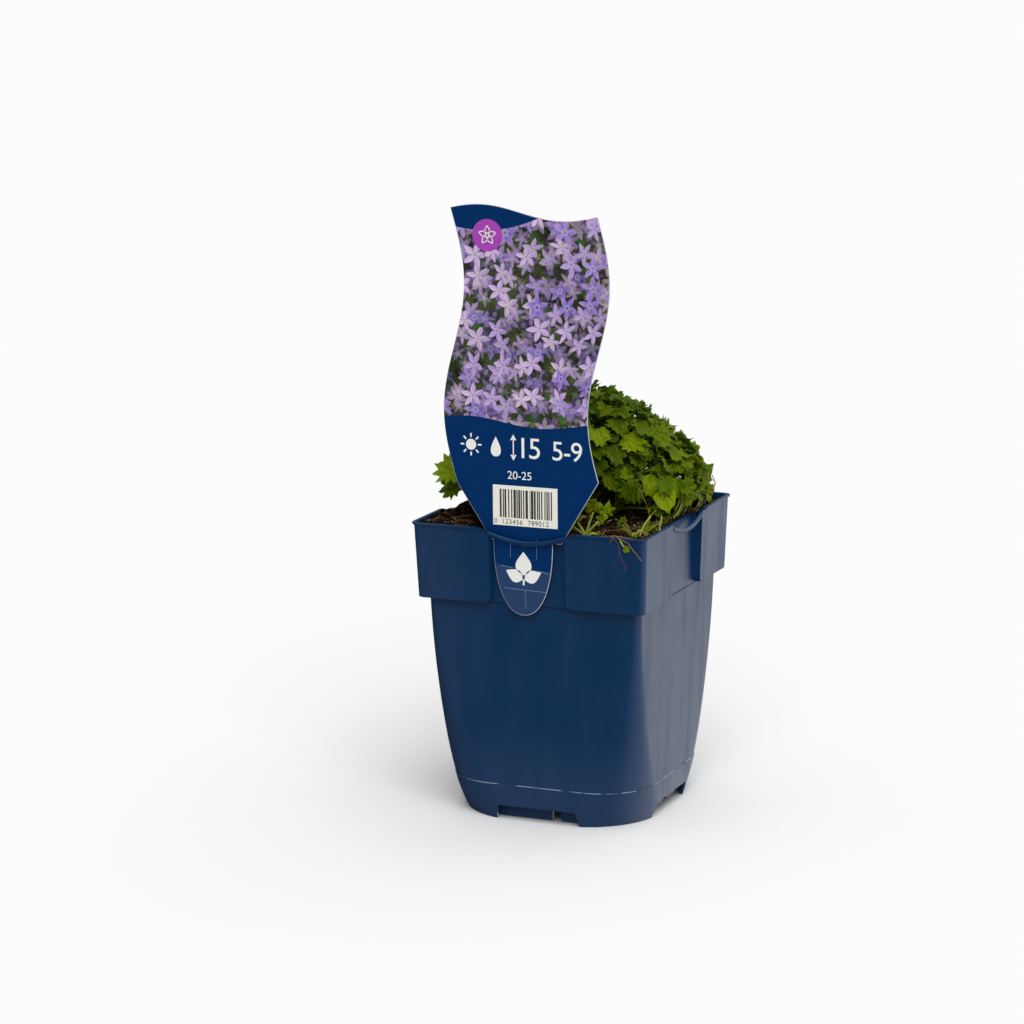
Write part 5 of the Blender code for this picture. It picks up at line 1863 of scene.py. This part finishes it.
def add_leaf(heap, leaf, teeth, rings, thickness, tone, youth, rng, stalk=0.00034):
    """Adds a blade and its round stalk to the heap."""
    points, faces, places, total = fine_blade(leaf, teeth, rings, thickness, rng)
    start = len(heap.points)
    heap.add(points, faces, (tone, youth, 0.0), places)
    for i in range(start + total, len(heap.points)):
        heap.tints[i] = (tone, youth, 1.0, 1.0)
    head, bend, foot = leaf.route
    path = arch(head + leaf.midrib * leaf.length * 0.05, bend, foot, 9)
    radii = [stalk * (0.85 + 0.35 * i / 9) for i in range(10)]
    heap.tube(path, radii, 6, (tone, youth, 0.0), stalk=True)


def single_leaf(base, tip, facing, bend, foot, **traits):
    """A leaf between two points that turns its upper side to facing."""
    base, tip, facing = Vector(base), Vector(tip), Vector(facing)
    midrib = (tip - base).normalized()
    up = (facing - midrib * facing.dot(midrib)).normalized()
    leaf = Leaf(length=(tip - base).length, fold=0.18, droop=0.12, **traits)
    leaf.base, leaf.midrib, leaf.up = base, midrib, up
    leaf.route = (base, Vector(bend), Vector(foot))
    return leaf


def stays_open(leaf):
    """True where the photograph looks under the cushion at the compost."""
    middle = leaf.base + leaf.midrib * leaf.length / 2
    left = middle.x < -0.033 and middle.y < -0.002 and middle.z < 0.147
    front = 0.008 < middle.x < 0.039 and middle.y < 0.006 and middle.z < 0.1468
    return left or front


def press_in(leaf, loose):
    """Moves a leaf that reaches past the cushion's flatter shoulder back to it."""
    side = leaf.up.cross(leaf.midrib) * leaf.length * 0.5
    middle = leaf.base + leaf.midrib * leaf.length * 0.5
    reach = (middle + side, middle - side, 2 * middle - leaf.base, leaf.base)
    for normal, far in SHOULDER_PLANES:
        out = max(p.dot(Vector(normal)) for p in reach) - far - loose
        if out > 0:
            leaf.base = leaf.base - Vector(normal) * min(out, SHOULDER_SHIFT)
    head, bend, foot = leaf.route
    leaf.route = (leaf.base, bend + (leaf.base - head) / 2, foot)


def extra_youth(leaf):
    """How much younger the leaves get towards the front right."""
    return max(0.0, (leaf.base.x - 0.5 * leaf.base.y - 0.012) * 10)


def make_cushion(settings):
    """Fine leaves on every shoot, where the solids' leaves are, and small ones between them."""
    finish = leaf_finish("leaf_green", settings, (0.160, 0.230, 0.015))
    seedlings = seedling_leaves()
    large = grow_leaves(settings, seedlings)
    small = grow_small_leaves(settings, seedlings + large)
    large = [leaf for leaf in large if not stays_open(leaf)]
    small = [leaf for leaf in small if not stays_open(leaf)]
    rng, slack = random.Random(settings.seed + 2), random.Random(settings.seed + 7)
    thick = settings.thickness
    for k, stem in enumerate(stem_places()):
        heap = Heap()
        radii = [0.0020, 0.0022, 0.0021, 0.0018, 0.0010]
        heap.peg(on_soil(*stem), (-0.002, 0.0012, 0.0024, 0.0031), radii, 10, (0.2, 0.35, 0.0))
        for leaf in large:
            if leaf.shoot == k:
                height = (leaf.base.z - CUSHION_FOOT_Z) / CUSHION_HEIGHT
                tone = min(1.0, max(0.0, 0.38 + 0.22 * height + rng.gauss(0, 0.32)))
                youth = max(0.0, rng.gauss(0.08, 0.15)) * (1.6 - height) + extra_youth(leaf)
                if rng.random() < 0.07:
                    youth = 0.85
                leaf.up = Matrix.Rotation(rng.gauss(0, 0.26), 3, leaf.midrib) @ leaf.up
                leaf.length *= 0.90
                press_in(leaf, slack.uniform(-0.0034, 0.0014))
                add_leaf(heap, leaf, 5, LARGE_RINGS, thick, tone, youth, rng)
        for leaf in small:
            if leaf.shoot == k:
                tone = rng.uniform(0.0, 1.0)
                youth = max(0.0, rng.gauss(0.16, 0.20)) + extra_youth(leaf)
                press_in(leaf, slack.uniform(-0.0045, 0.0006))
                add_leaf(heap, leaf, 3, SMALL_RINGS, thick, tone, youth, rng, 0.00026)
        name = f"leafy_shoot_{k + 1:02d}"
        shoot = heap.link(f"fine_{name}", finish, "leaf")
        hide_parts(name)


def make_low_leaves(settings):
    """Leaves that reach out of the cushion to the left of the label and at the right."""
    heap = Heap()
    rng = random.Random(settings.seed + 5)
    towards, above = (0.35, -0.85, 0.45), (0.25, -0.45, 0.85)
    for base, tip, bend, foot, faces_up, teeth, depth, wide, tone, youth in LOW_LEAVES:
        ruffle, point = (0.25, 1.28) if teeth == 1 else (0.7, 1.05)
        traits = {"ruffle": ruffle, "point": point, "depth": depth, "wide": wide}
        leaf = single_leaf(base, tip, above if faces_up else towards, bend, foot, **traits)
        add_leaf(heap, leaf, teeth, LOW_RINGS, settings.thickness, tone, youth, rng, 0.00045)
    heap.link("low_leaves", bpy.data.materials["leaf_green"], "leaf")


def make_seedlings(settings):
    """Seedlings with lobed leaves on fleshy stalks, and blades of grass."""
    finish = leaf_finish("leaf_pale", settings, (0.340, 0.390, 0.075))
    rng = random.Random(settings.seed + 3)
    traits = {"depth": 1.7, "wide": 1.2, "ruffle": 1.4}
    for k, (stem, _) in enumerate(SEEDLINGS):
        heap = Heap()
        foot, crown = on_soil(*stem), on_soil(*SEEDLING_CROWNS[k])
        radii = [0.0007, 0.0009, 0.00095, 0.0008, 0.0004]
        heap.peg(foot, (-0.001, 0.0006, 0.0014, 0.0019), radii, 10, (0.8, 0.7, 0.0))
        runner = arch(crown, (crown + foot) / 2 + Vector((0, 0, 0.0022)), foot, 8)
        heap.tube(runner, [0.0007] * 9, 8, (0.8, 0.7, 0.0), stalk=True)
        for head, way, length in SEEDLING_HEADS[k]:
            head, way = Vector(head), Vector(way).normalized()
            start = crown + (head - crown).normalized() * 0.0004
            bend = start.lerp(head, 0.35) + Vector((0, 0, 0.20 * (head.z - start.z)))
            tip = head + way * length
            fresh = single_leaf(head, tip, (0.30, -0.75, 0.75), bend, start, **traits)
            tone, youth = 1.0 - 0.4 * k, max(0.0, rng.uniform(0.65, 0.95) - 0.72 * k)
            add_leaf(heap, fresh, 2, (0.3, 0.55, 0.8, 1.0), 0.0004, tone, youth, rng, 0.00056)
        name = f"seedling_{k + 1}"
        piece = heap.link(f"fine_{name}", finish, "young_leaf")
        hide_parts(name)
    heap = Heap()
    foot = on_soil(*GRASS_PLACE)
    heap.peg(foot, (-0.001, 0.0008, 0.0016), [0.0006, 0.0008, 0.0008, 0.0003], 8, (0.7, 0.8, 0.0))
    for tip in GRASS_TIPS:
        bend = foot + Vector((tip[0] * 0.2, tip[1] * 0.2, tip[2] * 0.9))
        radii = [0.00042 * (1 - 0.7 * (i / 12) ** 2) for i in range(13)]
        heap.tube(arch(foot, bend, foot + Vector(tip), 12), radii, 6, (0.9, 0.75, 0.0))
    for loop in GRASS_LOOPS:
        radii = [0.00046 * (1 - 0.4 * (i / 14) ** 2) for i in range(15)]
        heap.tube(arch(*map(Vector, loop), 14), radii, 6, (0.9, 0.95, 0.0), stalk=True)
    blades = heap.link("fine_grass", finish, "young_leaf")
    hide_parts("grass")


def add_strand(heap, thick, tint, route, taper=0.5, wander=0.0003):
    """Adds a dry root or stalk that bends softly through its route."""
    path = []
    for a, b, c in zip(route, route[1:], route[2:] + [route[-1]]):
        a, b, c = Vector(a), Vector(b), Vector(c)
        for i in range(5):
            t = i / 5
            path.append(a.lerp(b, t) + (b - a).lerp(c - b, t) * 0.12 * sin(pi * t))
    path.append(Vector(route[-1]))
    path = [place + noise.noise_vector(place * 400) * wander for place in path]
    last = len(path) - 1
    heap.tube(path, [thick * (1 - taper * i / last) for i in range(last + 1)], 6, tint)


def make_strays(settings):
    """Roots over the rim, dry twigs and litter, on the compost."""
    rng = random.Random(settings.seed + 4)
    noise.seed_set(settings.seed + 4)
    heap = Heap()
    for strand in STRANDS:
        add_strand(heap, *strand)
    for _ in range(26):
        x, y = rng.uniform(0.038, 0.050), rng.uniform(0.010, 0.049)
        end = (x + rng.uniform(-0.004, 0.003), y + rng.uniform(-0.005, 0.003), 0.1310)
        route = [(x - 0.002, y, 0.1300), (x, y, 0.1330 + rng.uniform(0.0, 0.003)), end]
        add_strand(heap, 0.00022, (0.5, rng.uniform(0.5, 1.0), 0.0), route)
    for _ in range(26):
        turn, reach = rng.uniform(0, 6.28), rng.uniform(0.2, 0.75)
        x = CUSHION_X + CUSHION_HALF_X * reach * cos(turn) * plan_reach(turn)
        y = CUSHION_Y + CUSHION_HALF_Y * reach * sin(turn) * plan_reach(turn)
        x, y = max(-0.048, min(0.048, x)), max(-0.046, min(0.046, y))
        lean = Vector((cos(turn), sin(turn), 0)) * rng.uniform(0.001, 0.004)
        top = on_soil(x, y, rng.uniform(0.003, 0.008)) + lean
        route = [on_soil(x, y, -0.001), (on_soil(x, y) + top) / 2, top]
        add_strand(heap, 0.00030, (0.6, rng.uniform(0.1, 0.5), 0.0), route)
    heap.link("dry_strands", bpy.data.materials["fibre"], "compost")
    make_moss(rng)
    make_sprig(rng)


def make_moss(rng):
    """Tufts of moss at the edge of the compost."""
    moss = Heap()
    for _ in range(150):
        home = rng.choice(MOSS_HOMES)
        x, y = home[0] + rng.gauss(0, 0.0035), home[1] + rng.gauss(0, 0.0045)
        far, near = max(abs(x), abs(y)), min(abs(x), abs(y))
        if far > 0.0495 or near < 0.0215 and far > 0.0472:
            continue
        foot = on_soil(x, y, -0.0002)
        for _ in range(4):
            lean = Vector((rng.uniform(-1, 1), rng.uniform(-1, 1), 0)) * 0.0008
            tip = foot + lean * 1.3 + Vector((0, 0, rng.uniform(0.0009, 0.0024)))
            path = [foot, (foot + tip) / 2 + lean * 0.2, tip]
            tint = (rng.uniform(0.3, 1.0), rng.uniform(0.1, 0.7), 0.0)
            moss.tube(path, [0.00014, 0.00012, 0.00003], 4, tint)
    moss.link("moss", bpy.data.materials["leaf_pale"], "young_leaf")


def make_sprig(rng):
    """A tiny leaf on a root that hangs over the rim."""
    sprig = Heap()
    base, start = Vector((0.0458, -0.0557, 0.1296)), Vector((0.0440, -0.0556, 0.1322))
    tip = base + Vector((0.0025, -0.0003, -0.0016))
    leaf = single_leaf(base, tip, (0.2, -1.0, 0.3), (0.0448, -0.0557, 0.1306), start)
    add_leaf(sprig, leaf, 2, (0.5, 1.0), 0.00025, 0.9, 0.6, rng, 0.00018)
    sprig.link("sprig", bpy.data.materials["leaf_pale"], "young_leaf")


def lamp(name, place, spread, power):
    """A wide soft light that falls evenly from the side of place; spread is in degrees."""
    light = bpy.data.lights.new(name, "SUN")
    light.angle = radians(spread)
    light.energy = power
    made = put_object(name, light)
    made.location = place
    made.rotation_euler = (-Vector(place)).to_track_quat("-Z", "Y").to_euler()


def light_surroundings(scene, glow):
    """White all round, which glossy rays see as a wide panel at the right and one above."""
    scene.world = bpy.data.worlds.new("surroundings")
    scene.world.use_nodes = True
    sky = Wiring(scene.world.node_tree)
    shader = sky.tree.nodes["Background"].inputs
    shader["Color"].default_value = (1.0, 1.0, 1.0, 1.0)
    way = sky.node("TexCoord")["Generated"]
    side = sky.vector("DOT_PRODUCT", way, (0.80, 0.55, 0.10)).step(0.05, 0.75, 0.03, 1.36)
    above = sky.split(way)[2].step(0.55, 0.95, 0.0, 0.9)
    ray = sky.node("LightPath")
    glossy = ray["Is Glossy Ray"] * sky.math("MAXIMUM", side, above)
    plain = (1.0 - ray["Is Glossy Ray"]) * glow
    seen = ray["Is Camera Ray"] * (1.0 - glow)
    sky.feed(shader["Strength"], glossy + plain + seen)


def make_stage(settings):
    """A pale floor, soft lamps, pale surroundings and the camera."""
    scene = bpy.context.scene
    bm = bmesh.new()
    bmesh.ops.create_circle(bm, cap_ends=True, segments=96, radius=settings.floor)
    floor = put_object("floor", mesh_from(bm, "floor"))
    floor.visible_glossy = False
    pale = bpy.data.materials.new("pale_floor")
    pale.use_nodes = True
    shader = pale.node_tree.nodes["Principled BSDF"].inputs
    shader["Base Color"].default_value = (0.86, 0.86, 0.86, 1.0)
    shader["Roughness"].default_value = 0.9
    floor.data.materials.append(pale)
    light_surroundings(scene, settings.glow)
    lamp("key_lamp", (0.55, -1.0, 1.15), 45, 1.9 * settings.light)
    lamp("top_lamp", (0.25, 0.1, 1.5), 70, 1.3 * settings.light)
    # The camera's place, and its right, up and backward axes
    place = (0.5525, -1.3474, 0.4309)
    axes = ((0.9187, 0.3948, -0.0106), (-0.0700, 0.1893, 0.9794), (0.3886, -0.8991, 0.2016))
    camera = bpy.data.cameras.new("camera")
    camera.lens = 117.7
    camera.sensor_width = 36.0
    camera.clip_start = 0.05
    holder = put_object("camera", camera)
    holder.matrix_world = Matrix.Translation(place) @ Matrix(axes).transposed().to_4x4()
    scene.camera = holder
    scene.view_settings.view_transform = "Standard"


class BELLFLOWER_OT_pot(bpy.types.Operator):
    """Mould the nursery pot with its recesses, straps and notched foot"""

    bl_idname = "bellflower.pot"
    bl_label = "Pot"

    def execute(self, context):
        settings = context.scene.bellflower_pot
        thickness = context.scene.bellflower_label.thickness
        mesh = PotMaker(settings).make(thickness, settings.edge)
        pot = link_object("nursery_pot", mesh, plastic_finish(settings), slot="pot_plastic")
        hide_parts("pot")
        return {"FINISHED"}


class BELLFLOWER_OT_label(bpy.types.Operator):
    """Cut and print the picture label"""

    bl_idname = "bellflower.label"
    bl_label = "Label"

    def execute(self, context):
        settings = context.scene.bellflower_label
        make_card(settings)
        make_marks(settings)
        return {"FINISHED"}


class BELLFLOWER_OT_compost(bpy.types.Operator):
    """Fill the pot with crumbly, fibrous peat"""

    bl_idname = "bellflower.compost"
    bl_label = "Compost"

    def execute(self, context):
        make_compost(context.scene.bellflower_compost)
        return {"FINISHED"}


class BELLFLOWER_OT_cushion(bpy.types.Operator):
    """Grow the leafy shoots of the cushion"""

    bl_idname = "bellflower.cushion"
    bl_label = "Leafy shoots"

    def execute(self, context):
        make_cushion(context.scene.bellflower_cushion)
        make_low_leaves(context.scene.bellflower_cushion)
        return {"FINISHED"}


class BELLFLOWER_OT_seedlings(bpy.types.Operator):
    """Grow the seedlings and the blades of grass"""

    bl_idname = "bellflower.seedlings"
    bl_label = "Seedlings and grass"

    def execute(self, context):
        make_seedlings(context.scene.bellflower_cushion)
        return {"FINISHED"}


class BELLFLOWER_OT_strays(bpy.types.Operator):
    """Lay stray roots, twigs and moss on the compost and the rim"""

    bl_idname = "bellflower.strays"
    bl_label = "Roots, twigs and moss"

    def execute(self, context):
        make_strays(context.scene.bellflower_cushion)
        return {"FINISHED"}


class BELLFLOWER_OT_stage(bpy.types.Operator):
    """Set up the floor, the lamps and the camera"""

    bl_idname = "bellflower.stage"
    bl_label = "Stage"

    def execute(self, context):
        make_stage(context.scene.bellflower_stage)
        return {"FINISHED"}


OPERATORS = (
    BELLFLOWER_OT_pot,
    BELLFLOWER_OT_label,
    BELLFLOWER_OT_compost,
    BELLFLOWER_OT_cushion,
    BELLFLOWER_OT_seedlings,
    BELLFLOWER_OT_strays,
    BELLFLOWER_OT_stage,
)
SETTINGS = {
    "bellflower_pot": PotSettings,
    "bellflower_label": LabelSettings,
    "bellflower_compost": CompostSettings,
    "bellflower_cushion": CushionSettings,
    "bellflower_stage": StageSettings,
}


class BELLFLOWER_PT_panel(bpy.types.Panel):
    """Sizes, colours and makers of the potted bellflower"""

    bl_idname = "BELLFLOWER_PT_panel"
    bl_label = "Potted bellflower"
    bl_space_type = "VIEW_3D"
    bl_region_type = "UI"
    bl_category = "Bellflower"

    def draw(self, context):
        for name, kind in SETTINGS.items():
            box = self.layout.box()
            for entry in kind.__annotations__:
                box.prop(getattr(context.scene, name), entry)
        for operator in OPERATORS:
            self.layout.operator(operator.bl_idname)


def register():
    for kind in (*SETTINGS.values(), *OPERATORS, BELLFLOWER_PT_panel):
        bpy.utils.register_class(kind)
    for name, kind in SETTINGS.items():
        setattr(bpy.types.Scene, name, PointerProperty(type=kind))


def unregister():
    for name in SETTINGS:
        delattr(bpy.types.Scene, name)
    for kind in reversed((*SETTINGS.values(), *OPERATORS, BELLFLOWER_PT_panel)):
        bpy.utils.unregister_class(kind)


def main():
    """Registers the add-on and makes every piece."""
    register()
    build_mottling()
    build_dirt_specks()
    build_leaf_veins()
    build_printed_bloom()
    bpy.ops.bellflower.pot()
    bpy.ops.bellflower.label()
    bpy.ops.bellflower.compost()
    bpy.ops.bellflower.cushion()
    bpy.ops.bellflower.seedlings()
    bpy.ops.bellflower.strays()
    bpy.ops.bellflower.stage()


if __name__ == "__main__":
    main()
